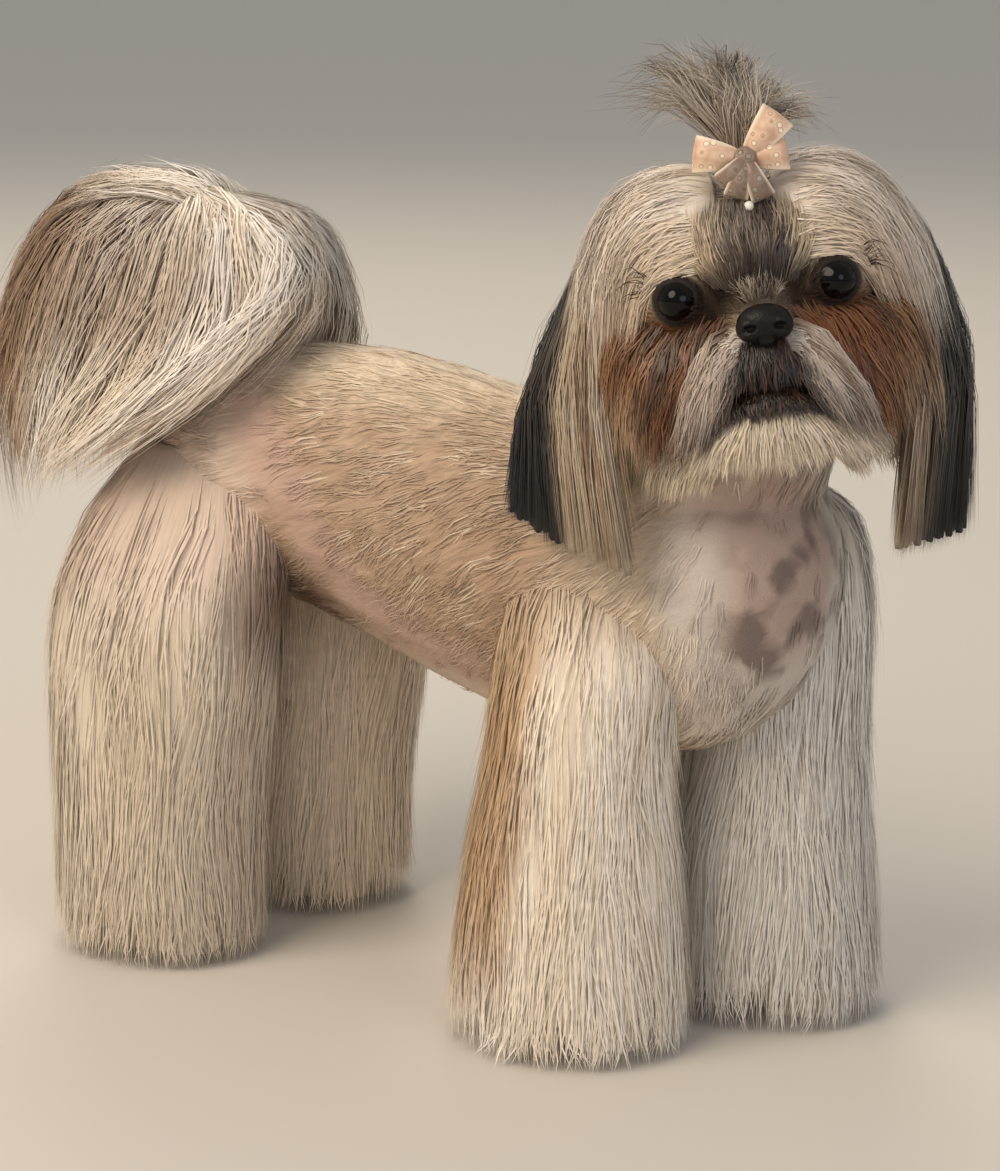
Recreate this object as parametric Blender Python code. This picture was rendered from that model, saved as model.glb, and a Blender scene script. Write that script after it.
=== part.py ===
# A still, life-size shih tzu: clipped body, long straight leg hair, plumed tail, drop ears, topknot and bow.
# Metres, +Z up. The dog faces +X, its left side is +Y and it stands on z = 0.
import math
import random

import bmesh
import bpy
from mathutils import Matrix, Vector

SEED = 11
GROWTH = 0.00035        # a neighbour is grown by this before it is cut away
EDGE_GROWTH = 2.0       # a sharp edge is grown by at most this many times as much
NUDGE = 0.00012         # and then moved by this each way and cut away again, which catches its folds
FLOOR_CLEARANCE = 0.0008

# Where the four feet stand
FEET = {
    "leg_front_right": Vector((0.093, -0.042, 0.0)),
    "leg_front_left": Vector((0.140, 0.042, 0.0)),
    "leg_rear_right": Vector((-0.122, -0.050, 0.0)),
    "leg_rear_left": Vector((-0.111, 0.050, 0.0)),
}

# Trunk sections from rump to breast: x, centre height, half height, half width
TORSO_STATIONS = (
    (-0.152, 0.220, 0.018, 0.018),
    (-0.143, 0.217, 0.036, 0.034),
    (-0.120, 0.213, 0.054, 0.047),
    (-0.085, 0.212, 0.059, 0.050),
    (-0.045, 0.207, 0.066, 0.050),
    (0.000, 0.197, 0.071, 0.053),
    (0.040, 0.189, 0.072, 0.056),
    (0.080, 0.186, 0.073, 0.056),
    (0.115, 0.186, 0.071, 0.055),
    (0.145, 0.189, 0.061, 0.052),
    (0.166, 0.194, 0.042, 0.040),
    (0.175, 0.197, 0.019, 0.018),
)
TORSO_SIDES = 18
TORSO_RINGS = 17
KEEL = 0.16             # how much narrower the underside is than the back

# Neck: centre, half width across, half depth
NECK_STATIONS = (
    (Vector((0.096, 0.006, 0.205)), 0.047, 0.050),
    (Vector((0.116, 0.000, 0.238)), 0.046, 0.050),
    (Vector((0.134, -0.010, 0.270)), 0.041, 0.044),
    (Vector((0.146, -0.018, 0.300)), 0.034, 0.036),
)
NECK_SIDES = 14

# Head frame: its origin is midway between the eyes, +X out of the face, +Y to the dog's left, +Z to the crown
HEAD_POINT = Vector((0.167, -0.058, 0.321))
HEAD_TURN = -60.5
HEAD_LIFT = 7.5
HEAD_ROLL = 9.4
HEAD_SEGMENTS = 22
HEAD_RINGS = 14
HEAD_BLEND = 0.010
HEAD_CENTRE = Vector((-0.034, 0.0, -0.006))
# Lobes that make the head: centre and half sizes
HEAD_LOBES = (
    (Vector((-0.046, 0.0, 0.004)), Vector((0.045, 0.046, 0.041))),
    (Vector((-0.022, 0.0, 0.012)), Vector((0.023, 0.038, 0.022))),
    (Vector((-0.017, 0.026, 0.000)), Vector((0.016, 0.017, 0.016))),
    (Vector((-0.017, -0.026, 0.000)), Vector((0.016, 0.017, 0.016))),
    (Vector((-0.028, 0.022, -0.026)), Vector((0.027, 0.026, 0.028))),
    (Vector((-0.028, -0.022, -0.026)), Vector((0.027, 0.026, 0.028))),
    (Vector((-0.002, 0.0, -0.024)), Vector((0.018, 0.021, 0.015))),
    (Vector((0.006, 0.010, -0.026)), Vector((0.012, 0.012, 0.011))),
    (Vector((0.006, -0.010, -0.026)), Vector((0.012, 0.012, 0.011))),
    (Vector((-0.002, 0.0, -0.043)), Vector((0.015, 0.018, 0.013))),
    (Vector((-0.030, 0.0, -0.042)), Vector((0.027, 0.032, 0.022))),
)

EYE_RADIUS = 0.0092
EYE_SPREAD = 0.0294     # from the middle of the face to the middle of each eye
EYE_DEPTH = -0.0050
EYE_TURN = 14.0         # each eye looks this far outwards
LID_RADIUS = 0.0090
LID_THICKNESS = 0.0019

NOSE_POINT = Vector((0.0185, 0.0005, -0.0126))
NOSE_HALF = Vector((0.0072, 0.0108, 0.0082))
NOSTRIL_SPREAD = 0.0050
NOSTRIL_RADIUS = 0.0021

MOUTH_DROP = -0.0345    # the line of the mouth below the eyes
MOUTH_HALF_WIDTH = 0.021
MOUTH_SAG = 0.0075      # its corners hang this much lower
MOUTH_GROOVE = 0.0010
LIP_RADIUS = 0.0024

BOW_POINT = Vector((-0.006, 0.002, 0.0490))
RIBBON_WIDTH = 0.0150
RIBBON_THICKNESS = 0.0011

TAIL_PATH = (
    Vector((-0.120, 0.0, 0.245)),
    Vector((-0.137, 0.0, 0.272)),
    Vector((-0.150, -0.001, 0.295)),
    Vector((-0.150, -0.002, 0.312)),
    Vector((-0.136, -0.003, 0.320)),
    Vector((-0.122, -0.004, 0.316)),
)
TAIL_RADII = (0.013, 0.012, 0.011, 0.010, 0.008, 0.005)
TAIL_MIDDLE = Vector((-0.145, 0.0, 0.262))     # a point inside the plume

# Guides of the plume in order round the tail: each runs from the tail's crest out and down to the hair's end
PLUME_GUIDES = (
    (Vector((-0.128, -0.006, 0.334)), Vector((-0.086, -0.020, 0.321)), Vector((-0.066, -0.032, 0.294)),
     Vector((-0.088, -0.056, 0.262)), Vector((-0.148, -0.068, 0.215))),
    (Vector((-0.135, -0.008, 0.334)), Vector((-0.104, -0.042, 0.314)), Vector((-0.108, -0.059, 0.277)),
     Vector((-0.140, -0.066, 0.243)), Vector((-0.176, -0.062, 0.205))),
    (Vector((-0.148, -0.008, 0.333)), Vector((-0.160, -0.040, 0.305)), Vector((-0.175, -0.053, 0.262)),
     Vector((-0.187, -0.053, 0.225)), Vector((-0.196, -0.047, 0.195))),
    (Vector((-0.158, -0.004, 0.326)), Vector((-0.197, -0.016, 0.306)), Vector((-0.222, -0.025, 0.268)),
     Vector((-0.232, -0.026, 0.222)), Vector((-0.224, -0.022, 0.170))),
    (Vector((-0.158, 0.004, 0.325)), Vector((-0.200, 0.012, 0.309)), Vector((-0.229, 0.014, 0.276)),
     Vector((-0.244, 0.010, 0.230)), Vector((-0.246, 0.005, 0.186))),
    (Vector((-0.150, 0.008, 0.330)), Vector((-0.174, 0.042, 0.303)), Vector((-0.190, 0.053, 0.262)),
     Vector((-0.195, 0.052, 0.225)), Vector((-0.197, 0.047, 0.195))),
    (Vector((-0.138, 0.008, 0.330)), Vector((-0.122, 0.044, 0.308)), Vector((-0.120, 0.059, 0.275)),
     Vector((-0.137, 0.065, 0.243)), Vector((-0.157, 0.062, 0.212))),
    (Vector((-0.130, 0.004, 0.333)), Vector((-0.100, 0.022, 0.318)), Vector((-0.092, 0.034, 0.292)),
     Vector((-0.100, 0.054, 0.262)), Vector((-0.128, 0.064, 0.226))),
)
PLUME_LOCKS = 16
PLUME_INNER_LOCKS = 6
PLUME_LOCK_WIDTH = 0.030
PLUME_LOCK_THICKNESS = 0.0036

COLOURS = {
    "gold": (0.56, 0.42, 0.28),
    "cream": (0.80, 0.74, 0.64),
    "tan": (0.55, 0.38, 0.24),
    "grey": (0.22, 0.20, 0.18),
    "beige": (0.55, 0.47, 0.37),
    "black": (0.015, 0.013, 0.013),
    "ribbon": (0.82, 0.56, 0.46),
}


def clear_scene():
    for item in list(bpy.data.objects):
        bpy.data.objects.remove(item, do_unlink=True)


def make_collection(name):
    collection = bpy.data.collections.new(name)
    bpy.context.scene.collection.children.link(collection)
    return collection


def make_material(name, colour, roughness):
    material = bpy.data.materials.new(name)
    material.use_nodes = True
    shader = material.node_tree.nodes["Principled BSDF"]
    shader.inputs["Base Color"].default_value = (*colour, 1.0)
    shader.inputs["Roughness"].default_value = roughness
    shader.inputs["Metallic"].default_value = 0.0
    return material


def add_object(name, shape, collection, place=None):
    """Turn a bmesh into an object whose faces point outwards."""
    if place is not None:
        bmesh.ops.transform(shape, matrix=place, verts=shape.verts)
    bmesh.ops.recalc_face_normals(shape, faces=shape.faces)
    mesh = bpy.data.meshes.new(name)
    shape.to_mesh(mesh)
    shape.free()
    item = bpy.data.objects.new(name, mesh)
    collection.objects.link(item)
    return item


def smooth_values(rows, at):
    """Read a list of number rows as a smooth curve; at runs from 0 to 1."""
    last = len(rows) - 1
    place = min(max(at, 0.0), 1.0) * last
    i = min(int(place), last - 1)
    f = place - i
    a, b, c, d = (rows[min(max(k, 0), last)] for k in (i - 1, i, i + 1, i + 2))
    values = []
    for p, q, r, s in zip(a, b, c, d):
        values.append(q + 0.5 * f * (r - p + f * (2 * p - 5 * q + 4 * r - s + f * (3 * (q - r) + s - p))))
    return values


def smooth_point(points, at):
    return Vector(smooth_values(points, at))


def loft(rings, start=None, end=None):
    """Skin a row of closed rings; an end is a pole where given, or else a flat cap."""
    shape = bmesh.new()
    rows = [[shape.verts.new(p) for p in ring] for ring in rings]
    count = len(rows[0])
    for lower, upper in zip(rows, rows[1:]):
        for i in range(count):
            j = (i + 1) % count
            shape.faces.new((lower[i], lower[j], upper[j], upper[i]))
    for row, pole in ((rows[0], start), (rows[-1], end)):
        if pole is None:
            shape.faces.new(row)
            continue
        tip = shape.verts.new(pole)
        for i in range(count):
            shape.faces.new((row[i], row[(i + 1) % count], tip))
    bmesh.ops.triangulate(shape, faces=shape.faces)
    return shape


def oval(centre, across, up, count):
    """Points of an oval with the two given half axes."""
    points = []
    for i in range(count):
        angle = 2 * math.pi * i / count
        points.append(centre + across * math.cos(angle) + up * math.sin(angle))
    return points


def ball(place, half, segments, rings, turn=None):
    """A UV sphere with the given half sizes."""
    shape = bmesh.new()
    bmesh.ops.create_uvsphere(shape, u_segments=segments, v_segments=rings, radius=1.0)
    matrix = Matrix.Translation(place) @ (turn or Matrix.Identity(4)) @ Matrix.Diagonal((*half, 1.0))
    bmesh.ops.transform(shape, matrix=matrix, verts=shape.verts)
    bmesh.ops.triangulate(shape, faces=shape.faces)
    return shape


def tube(points, radii, sides):
    """A round bar of changing radius along a smooth path of points."""
    rings = []
    last = len(points) - 1
    for i, point in enumerate(points):
        along = (points[min(i + 1, last)] - points[max(i - 1, 0)]).normalized()
        across = along.cross(Vector((0.3, 0.9, 0.1))).normalized()
        up = across.cross(along).normalized()
        rings.append(oval(point, across * radii[i], up * radii[i], sides))
    return loft(rings)


def lobe_distance(point, lobes, blend):
    """Rough signed distance to lobes that run smoothly into each other."""
    total = None
    for centre, half in lobes:
        offset = point - centre
        scaled = Vector((offset.x / half.x, offset.y / half.y, offset.z / half.z))
        away = (scaled.length - 1.0) * min(half)
        if total is None:
            total = away
            continue
        mix = max(blend - abs(total - away), 0.0) / blend
        total = min(total, away) - mix * mix * blend * 0.25
    return total


def lobed_form(centre, lobes, blend, segments, rings, reach=0.14, step=0.001):
    """A sphere whose points are drawn in from outside until they meet the lobes."""
    shape = bmesh.new()
    bmesh.ops.create_uvsphere(shape, u_segments=segments, v_segments=rings, radius=1.0)
    for vert in shape.verts:
        direction = vert.co.normalized()
        far = reach
        while far > step and lobe_distance(centre + direction * far, lobes, blend) > 0.0:
            far -= step
        low, high = far, far + step
        for _ in range(8):
            middle = (low + high) / 2
            if lobe_distance(centre + direction * middle, lobes, blend) > 0.0:
                high = middle
            else:
                low = middle
        vert.co = centre + direction * low
    bmesh.ops.triangulate(shape, faces=shape.faces)
    return shape


def lock(points, outs, width, thickness, blunt=0.0):
    """A flat lock of hair along its lie: a lens in section, widest near its middle, tapered to its tip.

    points run from the root to the tip, outs are the way its flat side faces at each of them.
    blunt is the share of the width that is left where the hair is cut straight across.
    """
    rings = []
    last = len(points) - 1
    for i in range(last + (1 if blunt else 0)):
        share = i / last
        along = (points[min(i + 1, last)] - points[max(i - 1, 0)]).normalized()
        across = along.cross(outs[i]).normalized()
        out = across.cross(along).normalized()
        swell = 0.62 + 1.45 * share - 1.75 * share * share
        half_width = 0.5 * width * max(swell, blunt)
        half_thick = 0.5 * thickness * (1.0 - 0.45 * share)
        rings.append(oval(points[i], across * half_width, out * half_thick, 4))
    return loft(rings, end=None if blunt else points[last])


def join(item, pieces):
    """Fuse closed pieces into an item with one Boolean union and keep its largest closed surface."""
    crowd = bpy.data.collections.new(item.name + "_pieces")
    for piece in pieces:
        for home in list(piece.users_collection):
            home.objects.unlink(piece)
        crowd.objects.link(piece)
    boolean = item.modifiers.new("Fuse", "BOOLEAN")
    boolean.operation = "UNION"
    boolean.operand_type = "COLLECTION"
    boolean.solver = "MANIFOLD"
    boolean.collection = crowd
    apply_modifiers(item)
    for piece in pieces:
        bpy.data.objects.remove(piece, do_unlink=True)
    bpy.data.collections.remove(crowd)


def grown_copy(item, growth, move, collection):
    """A cutter: a copy of an item, moved, with its points pushed out along their normals."""
    shape = bmesh.new()
    shape.from_mesh(item.data)
    shape.normal_update()
    for vert in shape.verts:
        vert.co += vert.normal * growth * min(vert.calc_shell_factor(), EDGE_GROWTH) + move
    cutter = add_object(item.name + "_cutter", shape, collection)
    cutter.hide_render = True
    cutter.display_type = "WIRE"
    return cutter


def cut(item, cutter):
    """Take a cutter out of an item and keep the item's largest closed surface."""
    boolean = item.modifiers.new("Cut", "BOOLEAN")
    boolean.operation = "DIFFERENCE"
    boolean.solver = "MANIFOLD"
    boolean.object = cutter
    apply_modifiers(item)
    bpy.data.objects.remove(cutter, do_unlink=True)


def apply_modifiers(item):
    depsgraph = bpy.context.evaluated_depsgraph_get()
    mesh = bpy.data.meshes.new_from_object(item.evaluated_get(depsgraph))
    item.modifiers.clear()
    item.data = mesh
    keep_largest(item)


def keep_largest(item):
    """Drop loose scraps: only the closed surface with the largest box stays."""
    shape = bmesh.new()
    shape.from_mesh(item.data)
    groups = []
    unseen = set(shape.verts)
    while unseen:
        front = [unseen.pop()]
        group = list(front)
        while front:
            vert = front.pop()
            for edge in vert.link_edges:
                other = edge.other_vert(vert)
                if other in unseen:
                    unseen.remove(other)
                    front.append(other)
                    group.append(other)
        groups.append(group)
    groups.sort(key=box_size, reverse=True)
    loose = [vert for group in groups[1:] for vert in group]
    bmesh.ops.delete(shape, geom=loose, context="VERTS")
    shape.to_mesh(item.data)
    shape.free()


def box_size(verts):
    size = 1.0
    for axis in range(3):
        values = [vert.co[axis] for vert in verts]
        size *= max(values) - min(values) + 1e-4
    return size


def finish_node(item, material):
    item.data.materials.clear()
    item.data.materials.append(material)
    item.data.shade_smooth()
    item.data.set_sharp_from_angle(angle=math.radians(50))


def head_matrix():
    turn = Matrix.Rotation(math.radians(HEAD_TURN), 4, "Z")
    lift = Matrix.Rotation(math.radians(-HEAD_LIFT), 4, "Y")
    roll = Matrix.Rotation(math.radians(HEAD_ROLL), 4, "X")
    return Matrix.Translation(HEAD_POINT) @ turn @ lift @ roll


def make_torso(collection):
    rings = []
    for k in range(TORSO_RINGS):
        x, height, half_height, half_width = smooth_values(TORSO_STATIONS, k / (TORSO_RINGS - 1))
        ring = []
        for i in range(TORSO_SIDES):
            angle = 2 * math.pi * i / TORSO_SIDES
            narrow = 1.0 - KEEL * max(-math.sin(angle), 0.0)
            y = half_width * math.cos(angle) * narrow
            ring.append(Vector((x, y, height + half_height * math.sin(angle))))
        rings.append(ring)
    first, last = TORSO_STATIONS[0], TORSO_STATIONS[-1]
    start = Vector((first[0] - 0.003, 0.0, first[1]))
    end = Vector((last[0] + 0.003, 0.0, last[1]))
    return add_object("torso", loft(rings, start, end), collection)


def make_neck(collection):
    rings = []
    last = len(NECK_STATIONS) - 1
    for i, (centre, half_width, half_depth) in enumerate(NECK_STATIONS):
        along = (NECK_STATIONS[min(i + 1, last)][0] - NECK_STATIONS[max(i - 1, 0)][0]).normalized()
        across = Vector((0.0, 1.0, 0.0))
        ahead = across.cross(along).normalized()
        rings.append(oval(centre, across * half_width, ahead * half_depth, NECK_SIDES))
    return add_object("neck", loft(rings), collection)


def mouth_point(share, drop):
    """A point of the mouth line; share runs from -1 at one corner to 1 at the other."""
    y = MOUTH_HALF_WIDTH * share
    x = 0.0165 - 0.026 * share * share
    return Vector((x, y, drop - MOUTH_SAG * share * share))


def make_head(collection, dice):
    form = lobed_form(HEAD_CENTRE, HEAD_LOBES, HEAD_BLEND, HEAD_SEGMENTS, HEAD_RINGS)
    head = add_object("head", form, collection)
    pieces = paths_to_locks("lock", head_lock_paths(dice), collection)
    for side in (-1, 1):
        pieces.append(add_object("lid", lid_ring(side), collection))
    shares = [-1 + 2 * i / 10 for i in range(11)]
    lip = [mouth_point(s, MOUTH_DROP - 0.0042) for s in shares]
    radii = [LIP_RADIUS * (1.0 - 0.5 * s * s) for s in shares]
    pieces.append(add_object("lower_lip", tube(lip, radii, 8), collection))
    join(head, pieces)
    groove = [mouth_point(s * 1.05, MOUTH_DROP) for s in shares]
    cut(head, add_object("mouth_cutter", tube(groove, [MOUTH_GROOVE] * len(groove), 6), collection))
    for side in (-1, 1):
        socket = ball(eye_point(side), [EYE_RADIUS + GROWTH] * 3, 14, 9)
        cut(head, add_object("socket_cutter", socket, collection))
    return head


def eye_point(side):
    return Vector((EYE_DEPTH, side * EYE_SPREAD, 0.0))


def lid_ring(side):
    """The rim of both lids round one eye, heavier above."""
    turn = math.radians(side * EYE_TURN)
    ahead = Vector((math.cos(turn), math.sin(turn), 0.0))
    across = Vector((-math.sin(turn), math.cos(turn), 0.0))
    up = Vector((0.0, 0.0, 1.0))
    shape = bmesh.new()
    count, sides = 12, 4
    rows = []
    for i in range(count):
        angle = 2 * math.pi * i / count
        spoke = across * math.cos(angle) + up * math.sin(angle) * 0.94
        centre = eye_point(side) + ahead * 0.0036 + spoke * LID_RADIUS
        thick = LID_THICKNESS * (1.0 + 0.25 * math.sin(angle))
        rows.append([shape.verts.new(p) for p in oval(centre, spoke.normalized() * thick, ahead * thick, sides)])
    for i in range(count):
        here, there = rows[i], rows[(i + 1) % count]
        for j in range(sides):
            k = (j + 1) % sides
            shape.faces.new((here[j], here[k], there[k], there[j]))
    bmesh.ops.triangulate(shape, faces=shape.faces)
    return shape


def make_eyes(collection, frame):
    eyes = []
    for name, side in (("eye_right", -1), ("eye_left", 1)):
        shape = ball(eye_point(side), [EYE_RADIUS] * 3, 14, 9)
        eyes.append(add_object(name, shape, collection, frame))
    return eyes


def make_nose(collection):
    lobes = (
        (NOSE_POINT, NOSE_HALF),
        (NOSE_POINT + Vector((0.001, 0.0055, -0.0012)), Vector((0.0062, 0.0056, 0.0056))),
        (NOSE_POINT + Vector((0.001, -0.0055, -0.0012)), Vector((0.0062, 0.0056, 0.0056))),
    )
    nose = add_object("nose", lobed_form(NOSE_POINT, lobes, 0.003, 14, 8, reach=0.02, step=0.0005), collection)
    for side in (-1, 1):
        place = NOSE_POINT + Vector((0.0066, side * NOSTRIL_SPREAD, -0.0006))
        half = (NOSTRIL_RADIUS * 1.6, NOSTRIL_RADIUS * 0.85, NOSTRIL_RADIUS)
        cut(nose, add_object("nostril_cutter", ball(place, half, 8, 6), collection))
    philtrum = [NOSE_POINT + Vector((0.0080, 0.0, -0.0100 + 0.0021 * i)) for i in range(4)]
    cut(nose, add_object("philtrum_cutter", tube(philtrum, [0.0006] * 4, 5), collection))
    return nose


def paths_to_locks(name, paths, collection):
    return [add_object(name, lock(*path), collection) for path in paths]


FRONT_LEG = {
    # The limb under the hair: height, lean ahead of the foot, shift towards the body, half length, half width
    "limb": ((0.0, 0.004, 0.0, 0.021, 0.017), (0.012, 0.004, 0.0, 0.025, 0.022), (0.040, -0.002, 0.0, 0.028, 0.027),
             (0.100, -0.004, 0.0, 0.027, 0.026), (0.145, -0.006, 0.002, 0.029, 0.024),
             (0.180, -0.006, 0.006, 0.028, 0.020), (0.216, -0.006, 0.018, 0.016, 0.009)),
    # The outside of the hair: height, half length, half width
    "column": ((0.0, 0.0475, 0.0455), (0.040, 0.0485, 0.0460), (0.075, 0.0465, 0.0445), (0.105, 0.0410, 0.0400),
               (0.130, 0.0370, 0.0370), (0.165, 0.0360, 0.0345), (0.200, 0.0320, 0.0280), (0.222, 0.0220, 0.0180)),
    "behind": -0.009,
    # Each tier: root height, tip height, share of the column's size, locks round the leg, half arc in degrees
    "tiers": ((0.204, 0.030, 1.00, 5, 95), (0.128, 0.003, 0.95, 9, 180)),
}
REAR_LEG = {
    "limb": ((0.0, 0.006, 0.0, 0.022, 0.017), (0.012, 0.005, 0.0, 0.025, 0.022), (0.040, -0.004, 0.0, 0.028, 0.026),
             (0.090, -0.003, 0.0, 0.032, 0.027), (0.130, 0.003, 0.002, 0.038, 0.025),
             (0.175, 0.006, 0.008, 0.042, 0.021), (0.220, 0.006, 0.021, 0.024, 0.010)),
    "column": ((0.0, 0.0445, 0.0410), (0.040, 0.0460, 0.0430), (0.080, 0.0500, 0.0440), (0.125, 0.0570, 0.0430),
               (0.160, 0.0570, 0.0400), (0.200, 0.0500, 0.0310), (0.228, 0.0320, 0.0200)),
    "behind": -0.002,
    "tiers": ((0.210, 0.050, 1.00, 5, 95), (0.140, 0.004, 0.95, 9, 180)),
}
LIMB_SIDES = 10
LEG_LOCK_RINGS = 4
LEG_LOCK_THICKNESS = 0.0042
LEG_LOCK_OVERLAP = 1.32     # a lock's width against its share of the way round
SHINGLE = 11.0              # each lock is turned so that one edge lies over its neighbour


def row_at(rows, z):
    """Read a table of rows that starts with a height, by straight lines between its rows."""
    for low, high in zip(rows, rows[1:]):
        if z <= high[0]:
            f = (z - low[0]) / (high[0] - low[0])
            return [p + (q - p) * f for p, q in zip(low, high)]
    return list(rows[-1])


def make_leg(name, leg, collection, dice):
    foot = FEET[name]
    outer = -1.0 if foot.y < 0 else 1.0
    rings = []
    for z, lean, inward, half_length, half_width in leg["limb"]:
        centre = foot + Vector((lean, -outer * inward, z))
        rings.append(oval(centre, Vector((half_length, 0, 0)), Vector((0, half_width, 0)), LIMB_SIDES))
    limb = add_object(name, loft(rings), collection)
    paths = []
    for tier, (root_z, tip_z, size, count, arc) in enumerate(leg["tiers"]):
        spread = math.radians(arc)
        for i in range(count):
            turn = -spread + 2 * spread * (i + 0.5 + 0.37 * tier) / count
            share = spread / math.pi / count
            paths.append(leg_lock_path(leg, foot, outer, turn, root_z, tip_z, size, share, dice))
    join(limb, paths_to_locks("lock", paths, collection))
    return limb


def leg_lock_path(leg, foot, outer, turn, root_z, tip_z, size, share, dice):
    """One lock of a leg: out from the limb, then down the outside of the hair column."""
    tip = max(tip_z + dice.uniform(0.0, 0.012), FLOOR_CLEARANCE)
    root = root_z + dice.uniform(-0.006, 0.006)
    shingle = Matrix.Rotation(math.radians(SHINGLE * outer), 3, "Z")
    wave = 0.985 + 0.015 * math.sin(7.0 * turn)
    points, outs = [], []
    for k in range(LEG_LOCK_RINGS + 1):
        t = k / LEG_LOCK_RINGS
        z = root + (tip - root) * t
        _, lean, inward, limb_length, limb_width = row_at(leg["limb"], z)
        _, half_length, half_width = row_at(leg["column"], z)
        middle = foot + Vector((lean * (1 - t) + leg["behind"] * t, -outer * inward, z))
        opening = math.sin(min(t * 2.6, 1.0) * math.pi / 2)
        along_x = 0.45 * limb_length + (half_length * size * wave - 0.45 * limb_length) * opening
        along_y = 0.45 * limb_width + (half_width * size * wave - 0.45 * limb_width) * opening
        points.append(middle + Vector((math.sin(turn) * along_x, outer * math.cos(turn) * along_y, 0.0)))
        out = Vector((math.sin(turn) / half_length, outer * math.cos(turn) / half_width, 0.0)).normalized()
        outs.append(shingle @ out)
    _, half_length, half_width = row_at(leg["column"], 0.5 * (root + tip))
    width = math.pi * (half_length + half_width) * size * share * LEG_LOCK_OVERLAP
    return points, outs, width, LEG_LOCK_THICKNESS


def plume_point(round_share, t):
    """A point of the plume's outside: round_share goes once round the guides, t runs down the hair."""
    count = len(PLUME_GUIDES)
    place = round_share * count
    i = int(math.floor(place))
    f = place - i
    four = [smooth_point(PLUME_GUIDES[(i + k) % count], t) for k in (-1, 0, 1, 2)]
    middle = four[1].lerp(four[2], f)
    bend = (four[1] + four[2] - four[0] - four[3]) * 0.25 * f * (1 - f)
    return middle + bend


def plume_lock_path(round_share, depth, start, end):
    """One lock of the plume, depth inside its surface."""
    points, outs = [], []
    rings = 5
    for k in range(rings + 1):
        t = start + (end - start) * k / rings
        here = plume_point(round_share, t)
        across = plume_point(round_share + 0.01, t) - plume_point(round_share - 0.01, t)
        along = plume_point(round_share, min(t + 0.02, 1.0)) - plume_point(round_share, max(t - 0.02, 0.0))
        out = across.cross(along).normalized()
        if out.dot(here - TAIL_MIDDLE) < 0:
            out = -out
        points.append(here - out * depth * min(3 * t, 1.0))
        twist = Matrix.Rotation(math.radians(SHINGLE), 3, along.normalized())
        outs.append(twist @ out)
    points[0] = smooth_point(TAIL_PATH, 0.62).lerp(points[0], 0.35)
    return points, outs, PLUME_LOCK_WIDTH, PLUME_LOCK_THICKNESS


def tail_lock_paths(dice):
    """Hair of the plume: locks that leave the tail's crest, arch out and fall round it, in two layers."""
    paths = []
    count = len(PLUME_GUIDES)
    front_gap = (count - 0.5) / count
    for i in range(PLUME_LOCKS):
        share = front_gap * (i + 0.15) / PLUME_LOCKS
        paths.append(plume_lock_path(share, 0.0, 0.02, 1.0 - dice.uniform(0.0, 0.12)))
    for i in range(PLUME_INNER_LOCKS):
        share = front_gap * (i + 0.6) / PLUME_INNER_LOCKS
        paths.append(plume_lock_path(share, 0.008, 0.04, 0.90 - dice.uniform(0.0, 0.10)))
    paths.append(plume_lock_path(1.0 - 0.5 / count, 0.0, 0.02, 0.62))
    return paths


def make_tail(collection, dice):
    steps = 10
    points = [smooth_point(TAIL_PATH, i / steps) for i in range(steps + 1)]
    radii = [smooth_values([(r,) for r in TAIL_RADII], i / steps)[0] for i in range(steps + 1)]
    tail = add_object("tail", tube(points, radii, 10), collection)
    join(tail, paths_to_locks("lock", tail_lock_paths(dice), collection))
    return tail


# Ear hair in the head frame: where the curtain's back and front edges start, bulge and end
EARS = {
    "ear_right": {
        "flap": (Vector((-0.050, -0.036, 0.030)), Vector((-0.048, -0.056, 0.012)), Vector((-0.046, -0.062, -0.022))),
        "back": (Vector((-0.060, -0.034, 0.036)), Vector((-0.056, -0.062, 0.022)),
                 Vector((-0.052, -0.094, -0.030)), Vector((-0.048, -0.108, -0.075))),
        "front": (Vector((-0.036, -0.036, 0.032)), Vector((-0.026, -0.056, 0.014)),
                  Vector((-0.016, -0.061, -0.040)), Vector((-0.014, -0.061, -0.104))),
    },
    "ear_left": {
        "flap": (Vector((-0.050, 0.036, 0.030)), Vector((-0.048, 0.056, 0.014)), Vector((-0.046, 0.060, -0.020))),
        "back": (Vector((-0.060, 0.034, 0.038)), Vector((-0.054, 0.064, 0.024)),
                 Vector((-0.048, 0.078, -0.030)), Vector((-0.040, 0.070, -0.106))),
        "front": (Vector((-0.036, 0.036, 0.034)), Vector((-0.026, 0.056, 0.016)),
                  Vector((-0.016, 0.056, -0.040)), Vector((-0.012, 0.040, -0.108))),
    },
}
EAR_LOCKS = (5, 3)          # in the outer layer and in the one under it
EAR_LOCK_WIDTH = 0.0200
EAR_LOCK_THICKNESS = 0.0032
EAR_LAYER = 0.0060          # how far the under layer lies behind the outer one
EAR_BLUNT = 0.55
FLAP_HALF_WIDTH = 0.017
FLAP_THICKNESS = 0.0034
FLAP_CUP = 0.0045


def make_ear(name, collection, dice):
    ear = EARS[name]
    side = -1.0 if name == "ear_right" else 1.0
    flap = add_object(name, ear_flap(ear["flap"], side), collection)
    paths = []
    for layer in (0, 1):
        count = EAR_LOCKS[layer]
        for i in range(count):
            share = (i + 0.5 * layer) / (count - 1 + layer)
            paths.append(ear_lock_path(ear, side, share, layer, dice))
    join(flap, paths_to_locks("lock", paths, collection))
    return flap


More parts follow.
